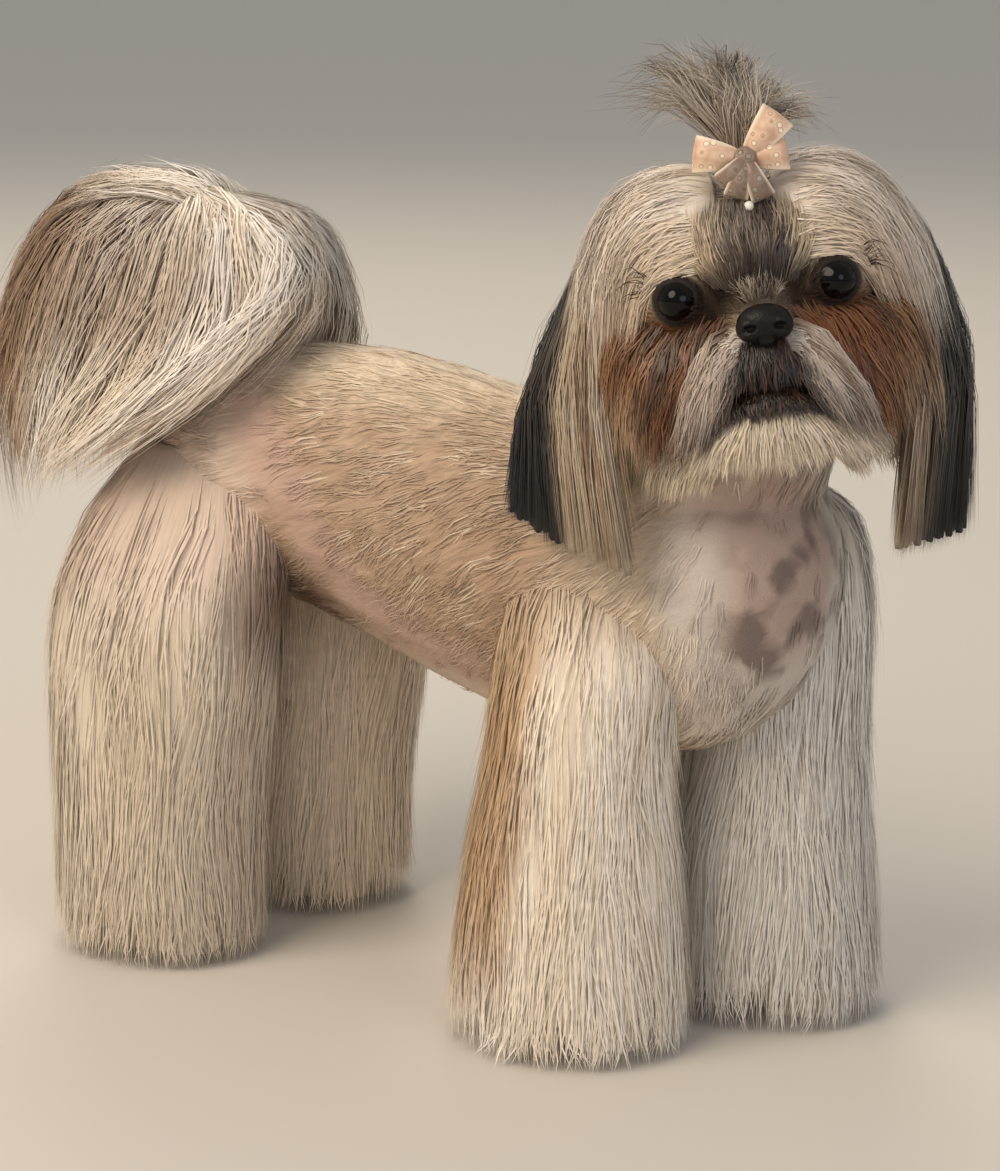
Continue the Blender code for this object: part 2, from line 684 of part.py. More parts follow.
def ear_flap(path, side):
    """The leather of a drop ear, a shallow cup that opens towards the head."""
    rings = []
    for k in range(6):
        t = k / 5
        centre = smooth_point(path, t)
        half = FLAP_HALF_WIDTH * (0.55 + 1.3 * t - 1.35 * t * t)
        ring = []
        for face, count in ((1, 5), (-1, 5)):
            for i in range(count):
                u = (-1 + 2 * i / (count - 1)) * face
                cup = FLAP_CUP * (1 - u * u) * math.sin(math.pi * min(t + 0.2, 1.0))
                y = side * (cup + face * 0.5 * FLAP_THICKNESS * (1 - 0.7 * u * u))
                ring.append(centre + Vector((u * half, y, 0.0)))
        rings.append(ring)
    shape = loft(rings)
    bmesh.ops.remove_doubles(shape, verts=shape.verts, dist=1e-6)
    return shape


def ear_lock_path(ear, side, share, layer, dice):
    """One lock of the ear's curtain, between its back and front edges."""
    points, outs = [], []
    rings = 4
    end = 1.0 - dice.uniform(0.0, 0.04) - 0.03 * layer
    for k in range(rings + 1):
        t = end * k / rings
        back = smooth_point(ear["back"], t)
        front = smooth_point(ear["front"], t)
        along = (smooth_point(ear["back"], t + 0.02) - smooth_point(ear["back"], t - 0.02)).normalized()
        out = (front - back).cross(along).normalized()
        if out.dot(Vector((0.5, side, 0.0))) < 0:
            out = -out
        bulge = math.sin(math.pi * share) * 0.007 * math.sin(math.pi * min(t + 0.15, 1.0))
        points.append(back.lerp(front, share) + out * (bulge - EAR_LAYER * layer * min(3 * t, 1.0)))
        outs.append(Matrix.Rotation(math.radians(SHINGLE), 3, along) @ out)
    return points, outs, EAR_LOCK_WIDTH, EAR_LOCK_THICKNESS, EAR_BLUNT


BROW_LOCK_WIDTH = 0.0280
CHEEK_LOCK_WIDTH = 0.0210
CHIN_LOCK_WIDTH = 0.0180
HEAD_LOCK_THICKNESS = 0.0040


def head_lock_paths(dice):
    """Forehead hair combed from the middle to the ears, the cheeks and moustache, and the chin."""
    paths = []
    for side in (-1, 1):
        for i in range(3):
            paths.append(brow_path(side, i / 2))
        for i in range(3):
            paths.append(cheek_path(side, i / 2, dice))
    for i in range(3):
        paths.append(chin_path(-1 + 2 * i / 2, dice))
    return paths


def path_points(stops, rings=3):
    return [smooth_point(stops, k / rings) for k in range(rings + 1)]


def brow_path(side, share):
    """From the crown over the temple towards the ear; share runs from the brow to the back."""
    crown = math.sin(0.5 * math.pi * share)
    start = Vector((-0.016 - 0.034 * share, side * 0.004, 0.030 + 0.010 * crown))
    high = Vector((-0.012 - 0.036 * share, side * 0.027, 0.0345 + 0.014 * crown))
    wide = Vector((-0.015 - 0.034 * share, side * 0.047, 0.020 + 0.012 * crown))
    end = Vector((-0.018 - 0.030 * share, side * 0.0560, -0.010 + 0.004 * crown))
    points = path_points((start, high, wide, end))
    outs = [(p - Vector((-0.045, 0.0, 0.0))).normalized() for p in points]
    return points, outs, BROW_LOCK_WIDTH, HEAD_LOCK_THICKNESS


def cheek_path(side, share, dice):
    """From beside the nose and under the eye down and out over the cheek; share runs from moustache to cheek."""
    start = Vector((0.006 - 0.022 * share, side * (0.010 + 0.020 * share), -0.018 - 0.002 * share))
    over = Vector((0.013 - 0.020 * share, side * (0.019 + 0.021 * share), -0.026 - 0.002 * share))
    low = Vector((0.008 - 0.016 * share, side * (0.027 + 0.022 * share), -0.046 + 0.006 * share))
    drop = dice.uniform(-0.003, 0.003) - 0.062 + 0.012 * share
    end = Vector((0.002 - 0.012 * share, side * (0.033 + 0.021 * share), drop))
    points = path_points((start, over, low, end))
    outs = [(Vector((1.0 - 0.5 * share, side * (0.5 + 0.6 * share), 0.15))).normalized() for _ in points]
    return points, outs, CHEEK_LOCK_WIDTH, HEAD_LOCK_THICKNESS


def chin_path(share, dice):
    start = Vector((0.004, 0.010 * share, -0.040))
    over = Vector((0.014, 0.013 * share, -0.046))
    low = Vector((0.012, 0.017 * share, -0.057))
    end = Vector((0.007, 0.019 * share, -0.067 + 0.004 * share * share + dice.uniform(-0.001, 0.001)))
    points = path_points((start, over, low, end))
    outs = [Vector((1.0, 0.4 * share, 0.0)).normalized() for _ in points]
    return points, outs, CHIN_LOCK_WIDTH, HEAD_LOCK_THICKNESS


def topknot_paths(dice):
    """The gathered hair above the bow, thrown up and out like a fountain."""
    paths = []
    root = Vector((-0.016, 0.002, 0.040))
    fan = (
        # lean to the left in degrees, lean back, length, droop, count
        (-54, 6, 0.068, 0.014, 3),
        (-30, 2, 0.064, 0.004, 3),
        (-4, -2, 0.052, 0.002, 2),
        (34, 4, 0.048, 0.008, 2),
        (62, 10, 0.054, 0.026, 3),
    )
    for lean, back, length, droop, count in fan:
        for i in range(count):
            a = math.radians(lean + 9.0 * (2 * i / (count - 1) - 1) + dice.uniform(-3, 3))
            b = math.radians(back + 26 * ((i % 2) - 0.35))
            ahead = Vector((-math.sin(b), math.sin(a) * math.cos(b), math.cos(a) * math.cos(b))).normalized()
            reach = length * dice.uniform(0.88, 1.06)
            points, outs = [], []
            for k in range(4):
                t = k / 3
                fall = Vector((0.0, 0.0, -droop * t * t))
                points.append(root + ahead * reach * t + fall)
                outs.append(Vector((1.0, 0.0, -0.3 * t)).normalized())
            paths.append((points, outs, 0.0130, 0.0030))
    return paths


def make_topknot(collection, dice):
    tuft = ball(Vector((-0.016, 0.002, 0.048)), (0.0085, 0.0085, 0.0100), 10, 7)
    topknot = add_object("topknot", tuft, collection)
    join(topknot, paths_to_locks("lock", topknot_paths(dice), collection))
    return topknot


def ribbon(points, width, outs):
    """A strip of ribbon with real thickness along a path."""
    rings = []
    last = len(points) - 1
    for i, point in enumerate(points):
        along = (points[min(i + 1, last)] - points[max(i - 1, 0)]).normalized()
        across = along.cross(outs[i]).normalized() * width[i] * 0.5
        out = across.cross(along).normalized() * RIBBON_THICKNESS * 0.5
        rings.append([point - across - out, point + across - out, point + across + out, point - across + out])
    return loft(rings)


def bow_loop(lean, length, height):
    """A loop that leaves the knot, opens to a round end and comes back."""
    a = math.radians(lean)
    away = Vector((0.0, math.cos(a), math.sin(a)))
    face = Vector((1.0, 0.0, 0.0))
    points, width, outs = [], [], []
    for k in range(9):
        t = k / 8
        swing = 2 * math.pi * t
        reach = length * 0.5 * (1 - math.cos(swing))
        depth = height * math.sin(swing) * (0.35 + 0.65 * math.sin(math.pi * t))
        points.append(BOW_POINT + away * (0.001 + reach) + face * (depth + 0.0030))
        width.append(RIBBON_WIDTH * (0.35 + 0.65 * math.sin(math.pi * t)))
        outs.append((away * -math.cos(swing) + face * math.sin(swing) + face * 1e-3).normalized())
    return points, width, outs


def bow_tail(lean, length):
    """A free end of the ribbon that hangs from the knot."""
    a = math.radians(lean)
    away = Vector((0.0, math.cos(a), math.sin(a)))
    points = [BOW_POINT + away * length * t + Vector((0.0065 + 0.004 * math.sin(3 * t), 0, 0)) for t in (0, 0.4, 0.7, 1)]
    return points, [RIBBON_WIDTH * w for w in (0.35, 0.5, 0.6, 0.65)], [Vector((1.0, 0.0, 0.0))] * 4


def make_bow(collection):
    bow = add_object("bow", ball(BOW_POINT + Vector((0.004, 0, 0)), (0.0046, 0.0048, 0.0052), 10, 7), collection)
    strips = [bow_loop(164, 0.0210, 0.0036), bow_loop(36, 0.0245, 0.0040), bow_loop(12, 0.0190, 0.0026)]
    strips += [bow_tail(-84, 0.0150), bow_tail(-118, 0.0120)]
    join(bow, [add_object("strip", ribbon(*strip), collection) for strip in strips])
    return bow


def grow_and_cut(item, others, bench):
    """Cut neighbours out of an item so that a narrow gap is left."""
    for other in others:
        cut(item, grown_copy(other, GROWTH, Vector(), bench))
        cut(item, grown_copy(other, 0.0, Vector(), bench))
        for axis in range(3):
            for way in (-1, 1):
                move = Vector()
                move[axis] = way * NUDGE
                cut(item, grown_copy(other, 0.0, move, bench))


def rest_on_origin(items):
    """Move everything so that the model's box stands centred on the origin."""
    corners = [item.matrix_world @ Vector(c) for item in items for c in item.bound_box]
    low = Vector([min(c[axis] for c in corners) for axis in range(3)])
    high = Vector([max(c[axis] for c in corners) for axis in range(3)])
    shift = Vector((-(low.x + high.x) / 2, -(low.y + high.y) / 2, -low.z))
    for item in items:
        item.data.transform(Matrix.Translation(shift))


def build():
    clear_scene()
    dog = make_collection("shih_tzu")
    bench = make_collection("cutters")
    dice = random.Random(SEED)
    frame = head_matrix()

    torso = make_torso(dog)
    neck = make_neck(dog)
    head = make_head(dog, dice)
    head.data.transform(frame)
    eyes = make_eyes(dog, frame)
    nose = make_nose(dog)
    nose.data.transform(frame)
    legs = {name: make_leg(name, FRONT_LEG if "front" in name else REAR_LEG, dog, dice) for name in FEET}
    tail = make_tail(dog, dice)
    ears = [make_ear(name, dog, dice) for name in EARS]
    for ear in ears:
        ear.data.transform(frame)
    topknot = make_topknot(dog, dice)
    topknot.data.transform(frame)
    bow = make_bow(dog)
    bow.data.transform(frame)

    grow_and_cut(neck, [torso, head], bench)
    for leg in legs.values():
        grow_and_cut(leg, [torso], bench)
    grow_and_cut(legs["leg_front_left"], [legs["leg_front_right"]], bench)
    grow_and_cut(legs["leg_rear_left"], [legs["leg_rear_right"]], bench)
    grow_and_cut(tail, [torso, legs["leg_rear_right"], legs["leg_rear_left"]], bench)
    grow_and_cut(head, [nose, bow], bench)
    for ear in ears:
        grow_and_cut(ear, [head, neck, torso], bench)
    grow_and_cut(topknot, [head, bow], bench)

    items = [torso, neck, head, *eyes, nose, *legs.values(), tail, *ears, topknot, bow]
    finishes = {
        "torso": "gold", "neck": "cream", "head": "tan", "eye_right": "black", "eye_left": "black",
        "nose": "black", "tail": "cream", "ear_right": "grey", "ear_left": "grey", "topknot": "beige",
        "bow": "ribbon",
    }
    rest_on_origin(items)
    for item in items:
        colour = finishes.get(item.name, "cream")
        finish_node(item, make_material(item.name, COLOURS[colour], 0.3 if colour == "black" else 0.8))


build()
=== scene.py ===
import math

import bmesh
import bpy
import numpy as np
from mathutils import Matrix, Vector, noise
from mathutils.bvhtree import BVHTree


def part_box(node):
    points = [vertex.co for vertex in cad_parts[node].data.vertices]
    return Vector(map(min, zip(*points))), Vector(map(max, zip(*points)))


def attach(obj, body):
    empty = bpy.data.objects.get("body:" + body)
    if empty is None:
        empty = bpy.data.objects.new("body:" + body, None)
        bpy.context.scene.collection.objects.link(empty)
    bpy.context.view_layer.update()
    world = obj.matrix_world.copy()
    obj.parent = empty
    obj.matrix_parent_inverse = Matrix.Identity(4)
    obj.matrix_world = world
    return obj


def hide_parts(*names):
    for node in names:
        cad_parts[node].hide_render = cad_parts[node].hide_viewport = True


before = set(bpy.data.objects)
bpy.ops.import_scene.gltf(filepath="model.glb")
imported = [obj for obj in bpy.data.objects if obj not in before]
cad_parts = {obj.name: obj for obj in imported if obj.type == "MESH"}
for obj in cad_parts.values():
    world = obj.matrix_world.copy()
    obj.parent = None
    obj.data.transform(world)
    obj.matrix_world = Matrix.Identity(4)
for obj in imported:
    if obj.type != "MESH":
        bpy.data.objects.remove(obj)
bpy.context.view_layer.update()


def linear(hexText):  # an sRGB hex colour as linear numbers
    parts = [int(hexText[i:i + 2], 16) / 255 for i in (1, 3, 5)]
    return np.array([p / 12.92 if p <= 0.04045 else ((p + 0.055) / 1.055) ** 2.4 for p in parts])


hairColours = {name: linear(text) for name, text in {
    "white": "#F3ECE2", "cream": "#E8D9C2", "warmCream": "#DCC9AE", "straw": "#CFB99D", "gold": "#BC966A",
    "tan": "#A88B72", "russet": "#693918", "umber": "#5E4130", "darkBrown": "#2A1C15", "charcoal": "#221E1B",
    "slate": "#5A524B", "greige": "#A39585", "beige": "#C0AA8D", "pink": "#BFA090", "palePink": "#D2BBA8",
    "spot": "#7C6A61", "silver": "#D5C9BC", "fawn": "#4B3C30",
}.items()}


def ease(values, low, high):  # 0 below low, 1 above high, smooth between
    share = np.clip((values - low) / (high - low), 0, 1)
    return share * share * (3 - 2 * share)


def mix(first, second, share):
    share = np.asarray(share)[..., None]
    return np.asarray(first) * (1 - share) + np.asarray(second) * share


def unit(vectors):
    return vectors / np.maximum(np.linalg.norm(vectors, axis=-1, keepdims=True), 1e-12)


def near(points, centre, radius, soft=0.4):  # 1 inside a ball, fading to 0 just outside it
    away = np.linalg.norm(points - np.array(centre), axis=-1) / radius
    return 1 - ease(away, 1 - soft, 1 + soft)


def nearLine(points, stops, radius, soft=0.4):  # the same along a bent line
    least = np.full(points.shape[:-1], 1e9)
    for first, last in zip(stops, stops[1:]):
        first, last = np.array(first), np.array(last)
        run = last - first
        share = np.clip(((points - first) @ run) / (run @ run), 0, 1)
        least = np.minimum(least, np.linalg.norm(points - first - share[..., None] * run, axis=-1))
    return 1 - ease(least / radius, 1 - soft, 1 + soft)


def patchy(points, size, offset=0.0):  # smooth noise from about -1 to 1, patches of the given size
    flat = points.reshape(-1, 3) / size + offset
    return np.array([noise.noise(Vector(p)) for p in flat]).reshape(points.shape[:-1])


# Where the dog stands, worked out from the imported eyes: the head's place fixes the rest
pose = {
    "headPoint": (0.167, -0.058, 0.321),
    "turn": -60.5, "lift": 7.5, "roll": 9.4,
    # in the head frame: the eyes' place ahead and to the side, the outward turn of their gaze, the head's middle
    "eyeDepth": -0.0050, "eyeSpread": 0.0294, "eyeSplay": 14.0, "middle": (-0.034, 0, -0.006),
}
headTurn = (Matrix.Rotation(math.radians(pose["turn"]), 3, "Z") @ Matrix.Rotation(math.radians(-pose["lift"]), 3, "Y")
            @ Matrix.Rotation(math.radians(pose["roll"]), 3, "X"))
eyeCentres = {side: sum(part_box("eye_" + side), Vector()) / 2 for side in ("right", "left")}
headOrigin = (eyeCentres["right"] + eyeCentres["left"]) / 2 - headTurn @ Vector((pose["eyeDepth"], 0, 0))
shift = np.array(headOrigin - Vector(pose["headPoint"]))
headAxes = np.array(headTurn)
headAt = np.array(headOrigin)


def fromHead(points):  # head frame: +X out of the face, +Y to the dog's left, +Z to the crown
    return np.asarray(points) @ headAxes.T + headAt


def toHead(points):
    return (points - headAt) @ headAxes


def fromMiddle(points):  # the way out of the head at each point
    return points - fromHead(pose["middle"])


def headGap(inHead, half):  # 1 on an oval of the given half sizes round the skull, less inside it
    return np.linalg.norm((inHead - (-0.03, 0, -0.008)) / half, axis=-1)


def lipGap(inHead):  # how far above or below the mouth's line a point lies
    lipZ = -0.0350 - 0.0075 * (inHead[..., 1] / 0.021) ** 2
    return np.abs(inHead[..., 2] - lipZ)


feet = {
    "leg_front_right": np.array((0.093, -0.042, 0.0)) + shift,
    "leg_front_left": np.array((0.140, 0.042, 0.0)) + shift,
    "leg_rear_right": np.array((-0.122, -0.050, 0.0)) + shift,
    "leg_rear_left": np.array((-0.111, 0.050, 0.0)) + shift,
}


def addNode(tree, kind, settings=None, links=None):
    node = tree.nodes.new(kind)
    for name, value in (settings or {}).items():
        if isinstance(name, int) or name in node.inputs:
            node.inputs[name].default_value = value
        else:
            setattr(node, name, value)
    for socket, source in (links or {}).items():
        tree.links.new(source, node.inputs[socket])
    return node


def newMaterial(name):
    material = bpy.data.materials.new(name)
    material.use_nodes = True
    material.node_tree.nodes.clear()
    return material, material.node_tree


def addShader(tree, settings, links=None):
    shader = addNode(tree, "ShaderNodeBsdfPrincipled", settings, links)
    addNode(tree, "ShaderNodeOutputMaterial", {}, {"Surface": shader.outputs["BSDF"]})


def setRamp(ramp, stops):  # stops: place and hex colour
    ramp.elements.remove(ramp.elements[1])
    for i, (at, text) in enumerate(stops):
        stop = ramp.elements[0] if i == 0 else ramp.elements.new(at)
        stop.position = at
        stop.color = (*linear(text), 1)


def meshFrom(bm, name):
    mesh = bpy.data.meshes.new(name)
    bm.to_mesh(mesh)
    bm.free()
    return mesh


# Overlapping closed forms made one surface by a voxel remesh, then smoothed; keep is the share of faces that stays
def oneSurface(bm, name, voxel, smooth, keep=None):
    rough = meshFrom(bm, name + "Forms")
    shell = bpy.data.objects.new(name + "Forms", rough)
    bpy.context.scene.collection.objects.link(shell)
    remesh = shell.modifiers.new("One form", "REMESH")
    remesh.mode = "VOXEL"
    remesh.voxel_size = voxel
    evened = shell.modifiers.new("Even", "SMOOTH")
    evened.factor = 0.5
    evened.iterations = smooth
    if keep:
        shell.modifiers.new("Lighter", "DECIMATE").ratio = keep
    mesh = bpy.data.meshes.new_from_object(shell.evaluated_get(bpy.context.evaluated_depsgraph_get()))
    bpy.data.objects.remove(shell)
    bpy.data.meshes.remove(rough)
    mesh.name = name
    return mesh


# Keratin hair: satin, so it takes a soft stripe of light along each lock, with the colour painted per strand, which
# holds some painted shade and highlight too
def hairMaterial(name, look):
    material, tree = newMaterial(name)
    place = addNode(tree, "ShaderNodeTexCoord")
    coat = addNode(tree, "ShaderNodeAttribute", {"attribute_name": "coat"})
    grain = addNode(tree, "ShaderNodeTexNoise", {"Scale": 1 / look["grain"], "Detail": 3.0},
                    {"Vector": place.outputs["Object"]})
    depth = addNode(tree, "ShaderNodeMapRange",
                    {"From Min": 0.3, "From Max": 0.7, "To Min": 1 - look["vary"], "To Max": 1 + look["vary"]},
                    {"Value": grain.outputs["Fac"]})
    tint = addNode(tree, "ShaderNodeVectorMath", {"operation": "SCALE"},
                   {"Vector": coat.outputs["Color"], "Scale": depth.outputs["Result"]})
    addShader(tree, {"Roughness": look["roughness"], "IOR": 1.55, "Specular IOR Level": look["specular"]},
              {"Base Color": tint.outputs["Vector"]})
    return material


materials = {
    "longHair": hairMaterial("Long silky hair", {"grain": 0.004, "vary": 0.10, "roughness": 0.42, "specular": 0.40}),
    "shortHair": hairMaterial("Clipped hair", {"grain": 0.006, "vary": 0.12, "roughness": 0.55, "specular": 0.30}),
}


# Short flat coat close to the skin: fine wavy lines of hair along the trunk, drawn as colour and bump
def skinMaterial():
    look = {"lineWidth": 0.0016, "lineLength": 0.026, "slope": 0.42, "warp": 0.0035, "warpSize": 0.022,
            "bump": 0.0007, "pore": 0.0008, "dark": 0.80, "light": 1.16}
    material, tree = newMaterial("Short coat on skin")
    place = addNode(tree, "ShaderNodeTexCoord")
    coat = addNode(tree, "ShaderNodeAttribute", {"attribute_name": "coat"})
    sway = addNode(tree, "ShaderNodeTexNoise", {"Scale": 1 / look["warpSize"], "Detail": 1.0},
                   {"Vector": place.outputs["Object"]})
    parts = addNode(tree, "ShaderNodeSeparateXYZ", {}, {0: place.outputs["Object"]})
    lean = addNode(tree, "ShaderNodeMath", {"operation": "MULTIPLY_ADD", 1: -look["slope"]},
                   {0: parts.outputs["X"], 2: parts.outputs["Z"]})
    warp = addNode(tree, "ShaderNodeMath", {"operation": "MULTIPLY_ADD", 1: 2 * look["warp"]},
                   {0: sway.outputs["Fac"], 2: lean.outputs[0]})
    along = addNode(tree, "ShaderNodeMath", {"operation": "MULTIPLY", 1: 1 / look["lineLength"]},
                    {0: parts.outputs["X"]})
    beside = addNode(tree, "ShaderNodeMath", {"operation": "MULTIPLY", 1: 1 / look["lineWidth"]},
                     {0: parts.outputs["Y"]})
    above = addNode(tree, "ShaderNodeMath", {"operation": "MULTIPLY", 1: 1 / look["lineWidth"]}, {0: warp.outputs[0]})
    drawn = addNode(tree, "ShaderNodeCombineXYZ", {},
                    {0: along.outputs[0], 1: beside.outputs[0], 2: above.outputs[0]})
    lines = addNode(tree, "ShaderNodeTexNoise", {"Scale": 1.0, "Detail": 3.0, "Roughness": 0.6},
                    {"Vector": drawn.outputs[0]})
    tone = addNode(tree, "ShaderNodeMapRange",
                   {"From Min": 0.36, "From Max": 0.66, "To Min": look["dark"], "To Max": look["light"]},
                   {"Value": lines.outputs["Fac"]})
    flat = addNode(tree, "ShaderNodeMix", {"data_type": "FLOAT", 2: 1.0},
                   {0: coat.outputs["Alpha"], 3: tone.outputs["Result"]})
    tint = addNode(tree, "ShaderNodeVectorMath", {"operation": "SCALE"},
                   {"Vector": coat.outputs["Color"], "Scale": flat.outputs[0]})
    pores = addNode(tree, "ShaderNodeTexNoise", {"Scale": 1 / look["pore"], "Detail": 2.0},
                    {"Vector": place.outputs["Object"]})
    height = addNode(tree, "ShaderNodeMix", {"data_type": "FLOAT"},
                     {0: coat.outputs["Alpha"], 2: pores.outputs["Fac"], 3: lines.outputs["Fac"]})
    bump = addNode(tree, "ShaderNodeBump", {"Strength": 0.7, "Distance": look["bump"]}, {"Height": height.outputs[0]})
    addShader(tree, {
        "Roughness": 0.6, "IOR": 1.45, "Specular IOR Level": 0.3, "Sheen Weight": 0.15, "Sheen Roughness": 0.4,
    }, {"Base Color": tint.outputs["Vector"], "Normal": bump.outputs["Normal"]})
    return material


# Dense undercoat, combed: lines of hair along the lie of each mass, read from its own map
def massMaterial(name, around, along):
    look = {"lineWidth": 0.0008, "lineLength": 0.030, "bump": 0.0004, "dark": 0.90, "light": 1.08}
    material, tree = newMaterial(name)
    coat = addNode(tree, "ShaderNodeAttribute", {"attribute_name": "coat"})
    lie = addNode(tree, "ShaderNodeUVMap", {"uv_map": "OFBake"})
    scaled = addNode(tree, "ShaderNodeMapping",
                     {"Scale": (around / look["lineWidth"], along / look["lineLength"], 1.0)},
                     {"Vector": lie.outputs["UV"]})
    lines = addNode(tree, "ShaderNodeTexNoise", {"Scale": 1.0, "Detail": 4.0, "Roughness": 0.6, "Distortion": 0.3},
                    {"Vector": scaled.outputs["Vector"]})
    tone = addNode(tree, "ShaderNodeMapRange",
                   {"From Min": 0.34, "From Max": 0.66, "To Min": look["dark"], "To Max": look["light"]},
                   {"Value": lines.outputs["Fac"]})
    tint = addNode(tree, "ShaderNodeVectorMath", {"operation": "SCALE"},
                   {"Vector": coat.outputs["Color"], "Scale": tone.outputs["Result"]})
    bump = addNode(tree, "ShaderNodeBump", {"Strength": 0.8, "Distance": look["bump"]},
                   {"Height": lines.outputs["Fac"]})
    addShader(tree, {
        "Roughness": 0.55, "IOR": 1.55, "Specular IOR Level": 0.3, "Sheen Weight": 0.10, "Sheen Roughness": 0.4,
    }, {"Base Color": tint.outputs["Vector"], "Normal": bump.outputs["Normal"]})
    return material


def addPiece(name, mesh, material, replaced=()):
    piece = bpy.data.objects.new(name, mesh)
    bpy.context.scene.collection.objects.link(piece)
    mesh.materials.clear()
    mesh.materials.append(material)
    if not mesh.has_custom_normals:
        mesh.shade_smooth()
    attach(piece, "root")
    if replaced:
        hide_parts(*replaced)
    return piece


def paintPoints(mesh, colours, streaks=1.0):  # a colour for each point, and in its alpha how streaky the coat is
    layer = mesh.color_attributes.new("coat", "FLOAT_COLOR", "POINT")
    rows = np.ones((len(mesh.vertices), 4), np.float32)
    rows[:, :3] = colours
    rows[:, 3] = streaks
    layer.data.foreach_set("color", rows.ravel())


# Closed strands with three sides, joined into one mesh; each strand's map patch lies at its root's place
hairBuild = {"patch": 0.003, "clearance": 0.0008}


def hairMesh(name, points, outs, widths, colours, roots, turned, thick=0.14):
    count, steps = points.shape[:2]
    rings = steps - 1
    points = points.copy()
    points[..., 2] = np.maximum(points[..., 2], hairBuild["clearance"])
    along = unit(np.gradient(points, axis=1))
    across = unit(np.cross(along, outs))
    up = np.cross(across, along)
    share = np.linspace(0, 1, steps)
    half = 0.5 * widths[:, None] * (0.75 + 0.9 * share - 1.35 * share ** 2)[None, :]
    sides = across * half[..., None]
    crest = up * half[..., None] * thick
    body = np.stack([points - sides - crest * 0.35, points + sides - crest * 0.35, points + crest], 2)[:, :rings]
    verts = np.concatenate([body.reshape(count, rings * 3, 3), points[:, -1:]], 1)
    size = rings * 3 + 1
    faces, under = [(0, 1, 2)], [False]
    for r in range(rings - 1):
        for e in range(3):
            a, b = r * 3 + e, r * 3 + (e + 1) % 3
            faces += [(a, a + 3, b), (b, a + 3, b + 3)]
            under += [e == 0, e == 0]
    for e in range(3):
        faces.append(((rings - 1) * 3 + e, size - 1, (rings - 1) * 3 + (e + 1) % 3))
        under.append(e == 0)
    faces = np.array(faces)
    corners = (faces[None] + (np.arange(count) * size)[:, None, None]).reshape(-1, 3)
    mesh = bpy.data.meshes.new(name)
    mesh.vertices.add(count * size)
    mesh.vertices.foreach_set("co", verts.astype(np.float32).ravel())
    mesh.loops.add(corners.size)
    mesh.loops.foreach_set("vertex_index", corners.astype(np.int32).ravel())
    mesh.polygons.add(len(corners))
    mesh.polygons.foreach_set("loop_start", np.arange(0, corners.size, 3, dtype=np.int32))
    mesh.update(calc_edges=True)
    tones = np.concatenate([np.repeat(colours[:, :rings], 3, axis=1), colours[:, -1:]], 1)
    paintPoints(mesh, tones.reshape(-1, 3))
    facing = up[:, :rings] * (1 - turned)
    leaning = np.stack([facing - across[:, :rings] * turned, facing + across[:, :rings] * turned, up[:, :rings]], 2)
    normals = unit(np.concatenate([leaning.reshape(count, rings * 3, 3), up[:, -1:]], 1)).reshape(-1, 3)
    # the underside of a strand faces the other way
    flipped = np.tile(np.repeat(np.where(under, -1.0, 1.0), 3), count)[:, None]
    patch = hairBuild["patch"]
    offsets = np.zeros((size, 2))
    offsets[:-1, 0] = np.tile((-0.5, 0.5, 0.0), rings) * patch
    offsets[:-1, 1] = np.repeat(share[:rings], 3) * patch
    offsets[-1, 1] = patch
    spots = (np.clip(roots, patch, 1 - 2 * patch)[:, None] + offsets[None]).reshape(-1, 2)
    layer = mesh.uv_layers.new(name="OFBake")
    layer.data.foreach_set("uv", spots[corners.ravel()].astype(np.float32).ravel())
    mesh.shade_smooth()
    mesh.normals_split_custom_set((normals[corners.ravel()] * flipped).tolist())
    return mesh


# A sheet of guide curves: u runs across the curves and t along them, both smoothly
def cubic(place, count, closed):
    low = np.floor(place).astype(int)
    if not closed:
        low = np.clip(low, 0, count - 2)
    f = place - low
    picks = low[..., None] + np.arange(-1, 3)
    picks = picks % count if closed else np.clip(picks, 0, count - 1)
    weights = np.stack([-0.5 * f + f ** 2 - 0.5 * f ** 3, 1 - 2.5 * f ** 2 + 1.5 * f ** 3,
                        0.5 * f + 2 * f ** 2 - 1.5 * f ** 3, -0.5 * f ** 2 + 0.5 * f ** 3], -1)
    return picks, weights


def readSheet(guides, u, t, closed):
    rows, stops = guides.shape[:2]
    across, acrossWeights = cubic(u * (rows if closed else rows - 1), rows, closed)
    down, downWeights = cubic(t * (stops - 1), stops, False)
    picked = guides[across[..., :, None], down[..., None, :]]
    return np.einsum("...i,...j,...ijk->...k", acrossWeights, downWeights, picked)


# Points of a sheet, the way out of it and the way across it. In a closed sheet outward only tips the way out
def sheetFrame(guides, u, t, closed, outward):
    step = 0.01
    points = readSheet(guides, u, t, closed)
    across = readSheet(guides, u + step, t, closed) - readSheet(guides, u - step, t, closed)
    along = readSheet(guides, u, t + step, closed) - readSheet(guides, u, t - step, closed)
    out = unit(np.cross(across, along))
    core = np.broadcast_to(guides.mean(0), guides.shape)
    lean = points - readSheet(core, u, t, closed) + outward(points) if closed else outward(points)
    out *= np.sign(np.sum(out * lean, -1, keepdims=True) + 1e-9)
    return points, out, unit(np.cross(along, out))


